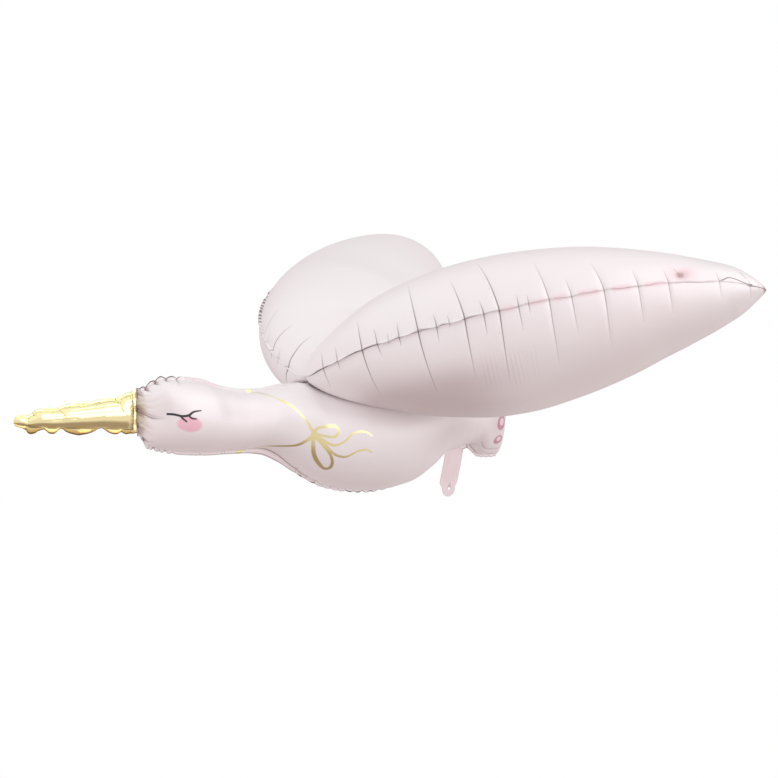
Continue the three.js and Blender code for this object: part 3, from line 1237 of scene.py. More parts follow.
@dataclass
class BeakFilm:
    """The gold bag ahead of the weld, drawn out to a blunt tip."""

    weld: Vector = field(default_factory=lambda: WELD)
    length: float = 281.0
    half_thickness: float = 28.0
    across: int = 92
    rows: int = 240
    # Length of the flat strip at the weld, and where the bag has opened to its full thickness
    strip: float = 9.0
    pinch: float = 34.0
    # Width of the welded edge on top
    ridge: float = 5.0
    # Where the first row lies, so that it doesn't touch the head's
    start: float = 0.4
    # Depth of a fold that lies in full shadow, and how far a shadow line fades
    deep: float = 7.0
    line_fade: float = 4.5
    # Distance ahead of the weld, then the height of the bag's rims above the middle of the weld
    top: Rows = (
        (0, 46.5), (8, 43.5), (20, 40), (29, 37.5), (43, 33.5), (54, 31.5), (66, 31.6), (80, 30.6),
        (95, 28.6), (113, 26.8), (132, 25.6), (154, 25.2), (168, 23.6), (182, 20.5), (198, 19.4),
        (210, 20), (222, 20), (232, 17), (241, 12.5), (249, 9.5), (260, 10.5), (268, 10.5), (274, 8.5),
        (279, 3), (281, -3),
    )
    bottom: Rows = (
        (0, -49.5), (12, -51), (24, -51), (32, -49), (40, -46), (47, -48.5), (54, -48), (68, -43),
        (77, -37), (85, -34.5), (91, -34.8), (98, -38), (115, -42), (133, -44), (151, -40), (165, -34),
        (172, -29), (179, -28.4), (186, -32.5), (194, -36), (203, -34.5), (210, -29), (216, -26.4),
        (225, -27.3), (233, -31.5), (243, -33.2), (250, -31), (256, -24), (262, -19.5), (270, -16),
        (277, -13), (281, -7),
    )
    # Distance ahead of the weld, then the height of the bottom seam
    keel: Rows = (
        (0, -43), (20, -40.5), (98, -31), (178, -24.5), (235, -18), (258, -14.5), (272, -11), (281, -6),
    )

    @staticmethod
    def creases() -> SeamCreases:
        """Folds that leave the top and the bottom seam."""
        top = (
            Crease(14, 34, 3, 4, 16), Crease(24, 16, 1.6, 3, 8), Crease(36, 22, 2, 3.5, 6),
            Crease(50, 36, 4.2, 4, -6), Crease(60, 12, 2, 3, -5), Crease(80, 14, 1.8, 4, 14),
            Crease(104, 13, 2.4, 4, -12), Crease(124, 13, 2.6, 4, 12), Crease(135, 16, 2.4, 4, -14),
            Crease(158, 11, 1.6, 4, 8), Crease(181, 24, 4.2, 5, -6), Crease(190, 16, 2.4, 4, 12),
            Crease(204, 13, 2, 4, -12), Crease(222, 12, 1.6, 4, 5), Crease(238, 18, 3.2, 5, -8),
            Crease(249, 18, 4.2, 5, 3), Crease(263, 10, 2, 4),
        )
        bottom = (
            Crease(16, 9, 2.0, 4), Crease(36, 11, 3.0, 5, 6), Crease(82, 12, 3.4, 6, 10),
            Crease(128, 9, 1.4, 6, 10), Crease(175, 11, 3.2, 5, 6), Crease(214, 11, 3.2, 5),
            Crease(254, 12, 4.2, 5, -4),
        )
        return (Seam.FIRST, top), (Seam.SECOND, bottom)

    @staticmethod
    def folds() -> tuple[Fold, ...]:
        """Shallow folds along the beak, and the gathers at the weld."""
        long = (
            Fold(((48, 24), (90, 22), (118, 21), (150, 18), (178, 15)), 1.5, 2.6, 0.45),
            Fold(((44, 9), (90, 8), (130, 8), (182, 7), (222, 5), (250, 1)), 1.3, 2.4, 0.45),
            Fold(((150, -1), (190, -1), (236, -2)), 0.9, 2.4, 0.1),
            Fold(((44, 32), (48, 20), (46, 8), (44, 1)), 2.4, 2.6, 0.6),
            Fold(((16, 40), (24, 28), (40, 17)), 1.8, 2.6, 0.4),
            Fold(((6, 30), (16, 18), (34, 9)), 1.6, 2.6, 0.35),
            Fold(((256, 8), (253, 0), (254, -10)), 3.2, 3.2, 0.3),
        )
        heights = (-37, -28, -17, -6, 6, 17, 27, 37)
        gathers = tuple(Fold(((5, y), (14, y * 0.97), (30, y * 0.9)), 2.4, 2.4, 0.35) for y in heights)
        return long + gathers

    def build(self) -> bpy.types.Object:
        """Make the bag and dress it.

        Returns:
            The piece.
        """
        place = np.linspace(self.start, self.length, self.rows + 1)
        top, bottom, keel = (curve(rows, place) for rows in (self.top, self.bottom, self.keel))
        upper = np.minimum(self.ridge, (top - keel) / 5)
        lower = np.minimum(keel - bottom, (top - bottom) / 2)
        half_along, middle = bag_middle((top, bottom), (upper, lower))
        opened = np.clip((place - self.strip) / (self.pinch - self.strip), 0, 1)
        swell = np.sqrt(1 - (1 - opened) ** 2)
        half_across = np.minimum(self.half_thickness, half_along * 0.98) * swell
        section = Section(half_along, (half_across, half_across), (upper, lower), self.across, edge=0.5)
        along = np.broadcast_to(place[None, :, None], section.arc.shape)
        relief = Relief(section.arc.shape, self.line_fade)
        relief.fold_in(section, along, self.creases(), self.folds())
        # Painted shadow line along the bottom welded edge
        relief.rule(section.inward(Seam.SECOND) - 0.8, 0.35 * (section.flange_share == 0))
        # Painted shadow specks at the weld, between the gathers
        painted_notch_shade = np.sin(section.arc / 4.6 + 0.6) > 0.1
        relief.rule(along - 2.2, smooth(6.0, 2.0, along) * painted_notch_shade)
        ends = plateau((self.strip * 0.6, self.strip + 3), (self.length - 6, self.length), along)
        relief.press = np.minimum(relief.press * ends, half_across[None, :, None] * 0.6)
        layers = relief.layers(self.deep)
        # Lobes of the bottom welded edge, which get painted orange reflection and shade
        layers["lobe"] = section.flange_share * (section.reach < 0)
        # Painted shade at the weld, between the gathers
        darken(layers, smooth(13, 3, along) * painted_notch_shade)
        section.push(relief.press)
        height = np.maximum(section.height, 0) * smooth(0, 1.5, along - self.start)
        height = height * np.sqrt(np.clip((self.length - along) / 5, 0, 1))
        flutter = 1.8 * np.sin(along / 11.5) * section.flange_share * ends
        upright = middle[None, :, None] + section.reach
        places = np.stack([-along, SIDES * height + flutter, upright], axis=-1) + np.array(self.weld)
        finish = GoldFilm("gold_mirror_film").build()
        piece = finished("beak_film", FilmMesh(places, layers).work(), finish)
        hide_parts("beak")
        return piece


@dataclass(frozen=True)
class WingShape:
    """How one wing's bag lies and swells.

    Attributes:
        length: From the front point to the tip.
        half_width: Half the widest chord.
        upper: Fullness of the upper film.
        under: Fullness of the under film.
        sweep: How far the wing is swept back, in degrees.
        rise: How far it rises outwards, in degrees.
        pitch: How far its root is tipped, in degrees.
        twist: How far it is twisted at the tip, in degrees.
        bow: How far its middle line bows forwards.
        sag: How far its middle line bows upwards.
        root_power: Power of the outline at the root.
        tip_power: Power of the outline at the tip.
        drop: Place along the wing and how far it hangs there.
        chord_trim: Place and factor on the chord.
        upper_trim: Place and factor on the upper fullness.
        under_trim: Place and factor on the under fullness.
        flange: Place and width of the welded edge.
    """

    length: float = 1050.0
    half_width: float = 227.0
    upper: float = 171.0
    under: float = 176.0
    sweep: float = 49.0
    rise: float = 17.5
    pitch: float = 0.0
    twist: float = 11.0
    bow: float = 7.0
    sag: float = 0.0
    root_power: float = 0.65
    tip_power: float = 0.79
    drop: Rows = ((0, 0), (1050, 0))
    chord_trim: Rows = ((0, 1), (1050, 1))
    upper_trim: Rows = ((0, 1), (1050, 1))
    under_trim: Rows = ((0, 1), (1050, 1))
    flange: Rows = ((0, 8), (1050, 8))

    def leaf(self, share: np.ndarray) -> np.ndarray:
        """Outline of a leaf.

        Args:
            share: Share of the wing's length.

        Returns:
            The share of the full width there, 0 at the ends.
        """
        widest = self.root_power / (self.root_power + self.tip_power)
        value = share**self.root_power * (1 - share) ** self.tip_power
        return value / (widest**self.root_power * (1 - widest) ** self.tip_power)

    def frame(self, share: np.ndarray, root: np.ndarray) -> tuple[np.ndarray, np.ndarray, np.ndarray]:
        """Middle line, direction to the leading seam and upward direction of the left wing.

        Args:
            share: Share of the wing's length.
            root: The front point of the wings.

        Returns:
            The three, for each share.
        """
        sweep, rise, pitch = (math.radians(angle) for angle in (self.sweep, self.rise, self.pitch))
        back = np.array([math.cos(pitch), 0, -math.sin(pitch)])
        up = np.array([math.sin(pitch), 0, math.cos(pitch)])
        out = np.array([0, -math.cos(rise), 0]) + up * math.sin(rise)
        normal = np.cross(out, back)
        normal /= np.linalg.norm(normal)
        if normal[2] < 0:
            normal = -normal
        axis = back * math.sin(sweep) + out * math.cos(sweep)
        chord = out * math.sin(sweep) - back * math.cos(sweep)
        arch = np.sin(np.pi * share)
        middle = root + np.outer(share * self.length, axis) + np.outer(self.bow * arch, chord)
        middle += np.outer(self.sag * arch - curve(self.drop, share * self.length), normal)
        turn = np.radians(self.twist) * share
        leading = np.outer(np.cos(turn), chord) + np.outer(np.sin(turn), normal)
        upward = np.outer(np.cos(turn), normal) - np.outer(np.sin(turn), chord)
        return middle, leading, upward


@dataclass
class WingPair:
    """Both wings as one V-shaped bag that rests on the back."""

    body: BodyFilm
    rows: int = 410
    across: int = 58
    seat: float = 1.004
    shared: WingShape = WingShape()
    left: WingShape = WingShape(
        flange=((0, 8), (430, 8), (520, 4), (600, 2.5), (1050, 2.5)),
        drop=((0, 1), (400, 1.5), (560, 4), (700, 4.5), (880, 5), (960, 8), (1010, 14), (1050, 14)),
        chord_trim=((0, 1), (880, 1), (950, 1.04), (1010, 1.25), (1050, 1.5)),
        upper_trim=(
            (0, 1.245), (60, 1.042), (120, 1.019), (190, 1.03), (260, 1.024), (340, 1.023), (420, 1.017),
            (500, 1.017), (580, 1.015), (660, 1.012), (740, 0.999), (820, 0.987), (880, 0.993), (930, 1.033),
            (970, 1.156), (1005, 1.353), (1030, 1.368), (1050, 1.23),
        ),
        under_trim=(
            (0, 0.9), (60, 0.895), (120, 0.902), (190, 0.92), (260, 0.967), (340, 0.996), (420, 1.029),
            (500, 1.021), (580, 0.99), (660, 0.961), (740, 0.927), (820, 0.885), (880, 0.892), (930, 0.912),
            (970, 0.915), (1005, 0.81), (1030, 0.72), (1050, 0.68),
        ),
    )
    right: WingShape = WingShape(
        half_width=227.0, upper=172.0, under=181.0, sweep=46.9, rise=21.6, pitch=3.0, twist=10.8, bow=4.0,
        sag=-30.0, root_power=0.656, tip_power=0.794,
        drop=((0, 0), (350, -1), (700, -3), (1050, -7)),
        upper_trim=(
            (0, 1), (380, 0.99), (450, 0.965), (500, 0.957), (600, 0.974), (680, 0.99), (730, 1.0),
            (790, 1.022), (860, 1.038), (930, 1.01), (965, 0.99), (1000, 0.88), (1050, 0.8),
        ),
        under_trim=((0, 1), (90, 0.96), (150, 0.98), (260, 1.02), (450, 1), (1050, 1)),
    )
    # Depth of a fold that lies in full shadow, and how far a shadow line fades
    deep: float = 8.0
    line_fade: float = 7.5
    # Distances from the plane of symmetry at which a wing starts to be its own, and is wholly so
    apart: Point = (14, 62)
    # Centre and half sizes of the dent near the left wing's tip and of the painted pink shade in it, and its
    # depth
    dent: tuple[Point, Point] = ((864, 20), (15, 14))
    dent_painted_shade: tuple[Point, Point] = ((868, 20), (30, 20))
    dent_depth: float = 8.0
    # How far off the body's skin the wings' film is laid, across and upwards
    clearance: Point = (1.2, 0.8)
    # Half widths of the strips about the plane of symmetry that are eased, in metres, and how often
    easing: tuple[tuple[float, int], ...] = ((0.05, 10), (0.036, 12), (0.024, 14), (0.014, 14))
    # Where the dashes of painted pink shade on the left wing's welded edge start and end
    edge_painted_shades: Rows = ((478, 505), (537, 574), (588, 622), (640, 688), (714, 757), (783, 830))
    # Where the upper film is folded over at the left wing's tip: places along it and in from its front
    tip_folds: tuple[tuple[Point, ...], ...] = (
        ((940, 0), (955, 4), (968, 10), (984, 8), (1002, 2), (1020, 0)),
        ((996, 34), (1002, 22), (1008, 14)),
    )
    # How much the upper films are filled between the wings, how far to each side, and how far backwards
    valley: float = 20.0
    valley_width: float = 34.0
    valley_fade: float = 120.0
    # How far the front point is lowered, and how far along the wing that is felt
    root_drop: float = 15.0
    root_fade: float = 105.0
    # Place along the left wing and how far the rim of its leading edge hangs
    droop: Rows = ((0, 4.5), (420, 4.5), (520, 0), (1050, 0))

    def root(self) -> np.ndarray:
        """The front point of the wings, above the body's back."""
        return np.array(self.body.weld) + (WING_STATION, 0, WING_BACK + WING_SEAT)

    @staticmethod
    def crease_width(depth: float) -> float:
        """How wide a wing's crease of a depth is."""
        return 2.6 + depth * 0.45

    @staticmethod
    def leading_creases(side: Side) -> tuple[tuple[Crease, ...], tuple[Crease, ...]]:
        """Folds of the upper and the under film that leave the leading seam.

        Args:
            side: Which wing.

        Returns:
            The folds of the upper and of the under film.
        """
        # Place along the wing, reach and lean on the upper film, the same on the under film, and depth
        left = (
            (57, 45, 1, 55, 8, 3.5), (95, 33, 0, 25, 4, 3), (158, 78, -4, 128, 16, 5.5),
            (195, 38, -2, 32, 7, 4), (222, 16, 0, 12, 0, 2), (247, 33, 0, 24, 2, 4),
            (291, 150, -13, 165, 13, 6), (333, 28, -3, 38, 0, 4), (362, 18, -3, 14, 0, 2.2),
            (396, 118, -22, 145, -2, 6), (438, 30, -5, 52, 0, 4.2), (472, 168, -36, 178, -9, 6),
            (514, 26, 0, 60, 1, 3.6), (536, 22, 0, 24, 0, 3), (580, 120, -22, 160, -5, 6),
            (628, 44, -8, 92, 0, 4.2), (698, 84, -20, 136, -7, 5.5), (771, 44, -8, 88, -3, 4.2),
            (836, 36, -6, 74, -2, 4), (946, 28, -4, 42, -2, 3.4), (1012, 16, 0, 40, -3, 3.4),
            (1032, 10, 0, 14, 0, 2),
        )
        right = (
            (27, 120, 42, 66, 24, 5.5), (56, 24, 8, 24, 4, 2.2), (86, 90, 18, 30, 6, 4.2),
            (118, 20, 6, 20, 3, 2.2), (156, 76, 20, 50, 6, 3.4), (176, 18, 3, 18, 2, 2.2),
            (201, 22, 4, 34, 4, 3), (224, 16, 2, 14, 0, 3), (246, 18, 2, 20, 2, 3.4),
            (268, 14, 0, 16, 0, 3), (292, 20, -1, 60, 6, 3.6), (316, 14, 0, 18, 0, 3),
            (345, 18, -1, 30, 0, 3), (392, 24, -2, 120, 2, 5), (437, 20, -2, 50, 0, 3.6),
            (478, 26, -3, 140, -6, 6), (520, 20, 0, 54, 0, 3.6), (552, 16, 0, 20, 0, 2),
            (588, 26, -3, 130, -5, 5.5), (634, 22, -2, 70, 0, 4), (690, 26, -3, 110, -6, 5),
            (730, 16, -2, 26, 0, 2.4), (764, 22, -2, 76, -3, 4), (822, 22, -2, 60, 0, 4),
            (868, 18, -2, 30, 0, 2.6), (912, 20, -3, 36, 0, 3), (952, 26, -3, 40, 0, 3.4),
            (990, 18, 0, 30, 0, 3), (1022, 12, 0, 20, 0, 2.6),
        )
        rows = left if side == Side.LEFT else right
        over, under = [], []
        for at, up, up_lean, down, down_lean, depth in rows:
            width = WingPair.crease_width(depth)
            ink = 0.65 if side == Side.LEFT and at > 550 else 1.0
            over.append(Crease(at, up, depth, width, up_lean, ink))
            under.append(Crease(at, down, depth, width, down_lean, ink))
        return tuple(over), tuple(under)

    @staticmethod
    def trailing_creases(side: Side) -> tuple[Crease, ...]:
        """Folds that leave the trailing seam of a wing, which are the same on both films.

        Args:
            side: Which wing.

        Returns:
            The folds, drawn by chance.
        """
        seed = 41 if side == Side.LEFT else 42
        chance = np.random.default_rng(seed)
        found, at = [], 60.0
        while at < WingShape.length - 20:
            long = chance.random() < 0.3
            reach = chance.uniform(80, 150) if long else chance.uniform(20, 48)
            depth = chance.uniform(5, 6) if long else chance.uniform(2.2, 4)
            taper = min(1.0, (WingShape.length - at) / 240)
            lean = chance.uniform(-0.12, 0.12) * reach
            found.append(Crease(at, reach * taper, depth, WingPair.crease_width(depth), lean))
            at += chance.uniform(24, 42)
        return tuple(found)

    def shapes(self, side: Side) -> tuple[np.ndarray, list[FramedSection]]:
        """Cut the shared and the side's own wing shape across at every row.

        Args:
            side: Which wing.

        Returns:
            The share of the length at every row, and both shapes with their frames.
        """
        even = np.linspace(0, 1, self.rows + 1)
        share = 0.62 * even + 0.38 * (1 - np.cos(np.pi * even)) / 2
        own = self.left if side == Side.LEFT else self.right
        cut = []
        for shape in (self.shared, own):
            leaf = shape.leaf(share)
            place = share * shape.length
            trims = (curve(rows, place) for rows in (shape.chord_trim, shape.upper_trim, shape.under_trim))
            chord, upper, under = (leaf * trim for trim in trims)
            flange = curve(shape.flange, place) * np.clip(leaf * 6, 0.25, 1)
            halves = (shape.upper * upper, shape.under * under)
            section = Section(shape.half_width * chord, halves, (flange, flange), self.across)
            cut.append((section, *shape.frame(share, self.root())))
        return share, cut

    def film(self, side: Side) -> FilmMesh:
        """Lay out the two films of one wing, before it is cut at the plane of symmetry.

        Args:
            side: Which wing.

        Returns:
            The mesh that is still to be made, with its folds.
        """
        share, (shared, mine) = self.shapes(side)
        shared[0].height[:, [0, -1]] = 0
        plain = self.spread(*shared)
        apart = smooth(*self.apart, -plain[..., 1])
        section = mine[0]
        along = np.broadcast_to((share * self.shared.length)[None, :, None], section.arc.shape)
        relief = Relief(section.arc.shape, self.line_fade)
        front, back = section.inward(Seam.FIRST), section.inward(Seam.SECOND)
        for film, creases in enumerate(self.leading_creases(side)):
            for crease in creases:
                relief.add(*crease.mark(along[film], front[film]), slice(film, film + 1))
        for crease in self.trailing_creases(side):
            relief.add(*crease.mark(along, back))
        if side == Side.LEFT:
            pink_tint_and_shade = self.left_marks(relief, along, front)
        else:
            # Pink tint towards the right wing's tip
            pink_tint_and_shade = smooth(968, 1000, along) * 0.8
        self.edge_lines(relief, section, along, side)
        limit = np.minimum(section.half_along, self.shared.upper * 0.5)[None, :, None] * 0.5
        relief.press = np.minimum(relief.press, limit) * apart
        relief.strength *= smooth(0.1, 0.6, apart)
        section.height[:, [0, -1]] = 0
        section.push(relief.press)
        self.wave(section, along, apart, curve(self.droop, along) * (side == Side.LEFT))
        places = plain + (self.spread(*mine) - plain) * apart[..., None]
        behind = places[..., 0] - self.root()[0]
        fill = np.exp(-((places[..., 1] / self.valley_width) ** 2)) * smooth(-6, 14, behind)
        fill *= np.exp(-np.maximum(behind, 0) / self.valley_fade)
        within = np.minimum(shared[0].inward(Seam.FIRST), shared[0].inward(Seam.SECOND))
        fill *= smooth(0, 12, within) * smooth(0, 20, along)
        places[0, ..., 2] += self.valley * fill[0]
        places[..., 2] -= self.root_drop * np.exp(-((along / self.root_fade) ** 2))
        if side == Side.RIGHT:
            places = places * (1, -1, 1)
        layers = relief.layers(self.deep)
        # Painted shade on the under film near the root, where the body keeps light off
        painted_root_shade = smooth(10, 160, front[1]) * plateau((30, 160), (330, 620), along[1])
        darken(layers, 0.56 * painted_root_shade, 1)
        # Painted shade on the left wing's upper film towards its tip, and on both films at the very tip
        if side == Side.LEFT:
            darken(layers, 0.3 * smooth(810, 930, along[0]), 0)
            darken(layers, smooth(1038, 1046, along))
        layers["pink_tint_and_shade"] = pink_tint_and_shade
        return FilmMesh(places, layers)

    def left_marks(self, relief: Relief, along: np.ndarray, front: np.ndarray) -> np.ndarray:
        """Press in what only the left wing has: fine ripples in the middle of its under film, and a dent.

        Args:
            relief: The relief that gets the marks.
            along: Distance along the wing at each place.
            front: Distance from the leading seam at each place.

        Returns:
            The painted pink shade at each place, in the dent and in dashes on the welded edge.
        """
        ripples = Ripples((372, 560), (60, 215), 8.8, 2.8)
        relief.press[1] = np.maximum(relief.press[1], ripples.press(along[1], front[1]))
        dent = blob(along[0], front[0], *self.dent) * smooth(0, 8, front[0])
        relief.press[0] += self.dent_depth * dent
        hook = Fold(((854, 34), (862, 22), (861, 9)), 3.0, 3.0, 0.3)
        relief.add(*hook.mark(along[0], front[0]), UPPER)
        pink_tint_and_shade = np.zeros(along.shape)
        # Painted pink shade in the dent
        pink_tint_and_shade[0] = np.minimum(1.2 * blob(along[0], front[0], *self.dent_painted_shade), 1)
        # Painted pink shade in dashes along the welded edge
        for low, high in self.edge_painted_shades:
            ends = plateau((low - 4, low + 6), (high - 6, high + 4), along)
            pink_tint_and_shade = np.maximum(pink_tint_and_shade, 0.75 * ends * (1 - smooth(3, 8, front)))
        return pink_tint_and_shade

    def edge_lines(self, relief: Relief, section: Section, along: np.ndarray, side: Side) -> None:
        """Draw the shadow lines along the leading seam.

        Args:
            relief: The relief that gets the lines.
            section: The wing's films.
            along: Distance along the wing at each place.
            side: Which wing.
        """
        front = section.inward(Seam.FIRST)
        if side == Side.LEFT:
            strong = plateau((8, 30), (396, 436), along) * (1 - 0.4 * smooth(150, 260, along))
            faint = 0.3 * plateau((860, 880), (930, 945), along) + 0.9 * smooth(1002, 1010, along)
            film = section.flange_share[1] == 0
            relief.rule(front[1] - 2.0, np.maximum(strong, faint)[1] * film, UNDER)
            for line, ink in zip(self.tip_folds, (1.0, 0.45)):
                offset, share = line_offset(rounded(line), along[0], front[0])
                relief.rule(offset, ink * (share > 0.02) * (share < 0.98), UPPER)
        else:
            window = plateau((212, 224), (448, 462), along)
            dashes = 0.95 * window * (np.sin(along / 3.4) > -0.35)
            relief.rule(front[0] - 0.5, dashes[0], UPPER)
            relief.rule(front[1] - 1.0, 0.5 * smooth(20, 60, along[1]), UNDER)

    @staticmethod
    def wave(section: Section, along: np.ndarray, apart: np.ndarray, droop: np.ndarray) -> None:
        """Let the welded edges flutter out of the wing's plane.

        Args:
            section: The wing's films.
            along: Distance along the wing at each place.
            apart: How free of the other wing each place is.
            droop: How far the leading edge's rim hangs down.
        """
        scallop = np.abs(np.sin(np.pi * along / 51 + 0.6)) ** 0.6
        hang = droop * (0.35 + 0.65 * scallop) * (section.reach > 0)
        flutter = 1.6 * np.sin(along / 21.0) + 1.1 * np.sin(along / 9.3 + 1.2) - hang
        section.height += FILMS * flutter * section.flange_share * apart

    @staticmethod
    def spread(section: Section, middle: np.ndarray, leading: np.ndarray, upward: np.ndarray) -> np.ndarray:
        """Lay a section's films out in the bird, for the left wing.

        Args:
            section: The films.
            middle: Middle line of the wing, for each row.
            leading: Direction to the leading seam, for each row.
            upward: Upward direction, for each row.

        Returns:
            The place of each place of the films.
        """
        middle, leading, upward = (rows[None, :, None] for rows in (middle, leading, upward))
        height = (FILMS * section.height)[..., None]
        return middle + section.reach[..., None] * leading + height * upward

    def half(self, side: Side) -> bmesh.types.BMesh:
        """Make one wing, cut off at the plane of symmetry.

        Args:
            side: Which wing.

        Returns:
            The open mesh, in metres.
        """
        work = self.film(side).work()
        geometry = [*work.verts, *work.edges, *work.faces]
        bmesh.ops.bisect_plane(
            work, geom=geometry, dist=1e-7, plane_co=(0, 0, 0), plane_no=(0, int(side), 0), clear_inner=True
        )
        return work

    def lift_off(self, work: bmesh.types.BMesh) -> None:
        """Move what would lie inside the body out onto its skin, and paint shade on the film beside it.

        Args:
            work: The mesh of both wings.
        """
        points = np.array([vert.co for vert in work.verts]) / MM - np.array(self.body.weld)
        station = np.clip(points[:, 0], 0, self.body.length)
        top, bottom, half_width = self.body.outline(station)
        half, middle = bag_middle((top, bottom), self.body.flanges(station))
        half, wide = half + self.clearance[1], half_width + self.clearance[0]
        across, above = points[:, 1], points[:, 2] - middle
        level = np.sqrt((across / wide) ** 2 + (above / half) ** 2)
        inside = (level < self.seat) & (above > 0)
        inside &= (points[:, 0] > 0) & (points[:, 0] < self.body.length - 8)
        log.info("wings: %d vertices lifted off the body", int(inside.sum()))
        names = ("fold", f"{LINE_SETS[1]}_offset", f"{LINE_SETS[1]}_strength")
        fold, offset, strength = (work.verts.layers.float[name] for name in names)
        # Painted contact shadow on the film beside the body, with a painted shadow line near the front
        shadow = np.exp(-np.maximum(level - self.seat, 0) / 0.06) * (above > 0)
        shadow *= 1 - smooth(440, 700, points[:, 0])
        for index in np.nonzero((shadow > 0.02) & (points[:, 0] > WING_STATION - 40))[0]:
            vert = work.verts[int(index)]
            vert[fold] = max(vert[fold], float(shadow[index]))
            if shadow[index] > 0.4:
                vert[offset] = 0
                vert[strength] = float(1 - smooth(425, 560, points[index, 0])) * (vert.co.y < 0.003)
        for index in np.nonzero(inside)[0]:
            grow = self.seat / max(level[index], 0.2)
            vert = work.verts[int(index)]
            vert.co.y = across[index] * grow * MM
            vert.co.z = (middle[index] + self.body.weld.z + above[index] * grow) * MM

    def build(self) -> bpy.types.Object:
        """Make both wings, join them and dress them.

        Returns:
            The piece.
        """
        work = self.half(Side.LEFT)
        other = self.half(Side.RIGHT)
        spare = bpy.data.meshes.new("wing_right_half")
        other.to_mesh(spare)
        other.free()
        work.from_mesh(spare)
        bpy.data.meshes.remove(spare)
        rim = [vert for vert in work.verts if vert.is_boundary]
        bmesh.ops.remove_doubles(work, verts=rim, dist=2e-5)
        for band, times in self.easing:
            saddle = [vert for vert in work.verts if abs(vert.co.y) < band]
            for _ in range(times):
                bmesh.ops.smooth_vert(
                    work, verts=saddle, factor=0.5, use_axis_x=False, use_axis_y=False, use_axis_z=True
                )
        work.verts.ensure_lookup_table()
        self.lift_off(work)
        bmesh.ops.recalc_face_normals(work, faces=work.faces)
        log.info("wings: %d open edges", sum(1 for edge in work.edges if not edge.is_manifold))
        finish = PearlFilm("pearl_film_plain").build()
        piece = finished("wings_film", work, finish)
        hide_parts("wings")
        return piece


@dataclass
class FillingTab:
    """The flat tongue under the rump, with a waist, a round lobe and the ribbon hole.

    Attributes:
        drop: From the hole up to the rump.
        lean: How far the tab leans towards the tail over its drop.
        width: Its full width.
        throat: Height above the hole where it starts to lean.
        lobe: Radius of the lobe round the hole.
        shoulder: Height above the hole where it has its full width.
        root: Length that is hidden in the rump.
        hole: Radius of the ribbon hole.
        thickness: Of both films together.
        points: Points round the hole.
        rings: Rings from the hole to the edge.
    """

    drop: float = 92.0
    lean: float = 20.0
    width: float = 53.0
    throat: float = 15.0
    lobe: float = 19.0
    shoulder: float = 18.0
    root: float = 22.0
    hole: float = 3.8
    thickness: float = 1.2
    points: int = 96
    rings: int = 14

    def centre(self, height: float) -> float:
        """Where the tab's middle line lies at a height."""
        return -1.5 + self.lean * max(height - self.throat, 0) / self.drop

    def edge(self, angle: float) -> Point:
        """A point of the tab's outline, in the direction of an angle from the hole.

        Args:
            angle: The direction, from straight up, turning towards the tail.

        Returns:
            The point, in the tab's plane.
        """
        top = self.drop + self.root
        dx, dz = math.sin(angle), math.cos(angle)
        low, high = 0.0, 200.0
        for _ in range(40):
            reach = (low + high) / 2
            x, z = dx * reach, dz * reach
            eased = float(smooth(1.0, self.shoulder, z))
            half = self.lobe + (self.width / 2 - self.lobe) * eased
            round_off = math.sqrt(max(self.lobe**2 - min(z, 0) ** 2, 0)) if z < 0 else half
            inside = abs(x - self.centre(z)) < round_off and -self.lobe < z < top
            low, high = (reach, high) if inside else (low, reach)
        return dx * low, dz * low

    def build(self) -> bpy.types.Object:
        """Make the tab from its hole outwards and dress it.

        Returns:
            The piece.
        """
        work = bmesh.new()
        turn = Matrix.Rotation(math.pi / 2, 4, "X")
        circle = bmesh.ops.create_circle(work, segments=self.points, radius=self.hole * MM, matrix=turn)
        ring = circle["verts"]
        ends = [self.edge(math.atan2(vert.co.x, vert.co.z)) for vert in ring]
        loop = list(work.edges)
        starts = [(vert.co.x / MM, vert.co.z / MM) for vert in ring]
        for step in range(1, self.rings + 1):
            made = bmesh.ops.extrude_edge_only(work, edges=loop)["geom"]
            verts = [item for item in made if isinstance(item, bmesh.types.BMVert)]
            loop = [item for item in made if isinstance(item, bmesh.types.BMEdge) and item.is_boundary]
            order = {}
            for vert in verts:
                nearest = min(range(len(ring)), key=lambda k: (ring[k].co - vert.co).length)
                order[nearest] = vert
            ring = [order[k] for k in range(len(ring))]
            share = (step / self.rings) ** 0.8
            for vert, (x0, z0), (x1, z1) in zip(ring, starts, ends):
                vert.co.x = (x0 + (x1 - x0) * share) * MM
                vert.co.z = (z0 + (z1 - z0) * share) * MM
        thick = bmesh.ops.extrude_face_region(work, geom=list(work.faces))["geom"]
        back = {item for item in thick if isinstance(item, bmesh.types.BMVert)}
        front = [vert for vert in work.verts if vert not in back]
        for sign, verts in ((-1, front), (1, back)):
            for vert in verts:
                x, z = vert.co.x / MM, vert.co.z / MM
                wave = 0.9 * math.sin(z / 15 + 0.6) * float(smooth(-10, 40, z))
                vert.co.y = (sign * self.thickness / 2 + self.channel(x, z) * sign + wave) * MM
        bmesh.ops.recalc_face_normals(work, faces=work.faces)
        tab_pink = (0.80, 0.69, 0.71, 1.0)
        finish = PearlFilm("pearl_film_tab", base=tab_pink, warm=tab_pink).build()
        return finished("filling_tab", work, finish)

    def channel(self, x: float, z: float) -> float:
        """How far the flat filling channel stands up from the tab.

        Args:
            x: Distance of the place from the hole towards the tail.
            z: Its height above the hole.

        Returns:
            The height out of the tab.
        """
        across = 1 - smooth(self.width / 2 - 14, self.width / 2 - 5, abs(x - self.centre(z)))
        return float(1.1 * across * smooth(10, 34, z))


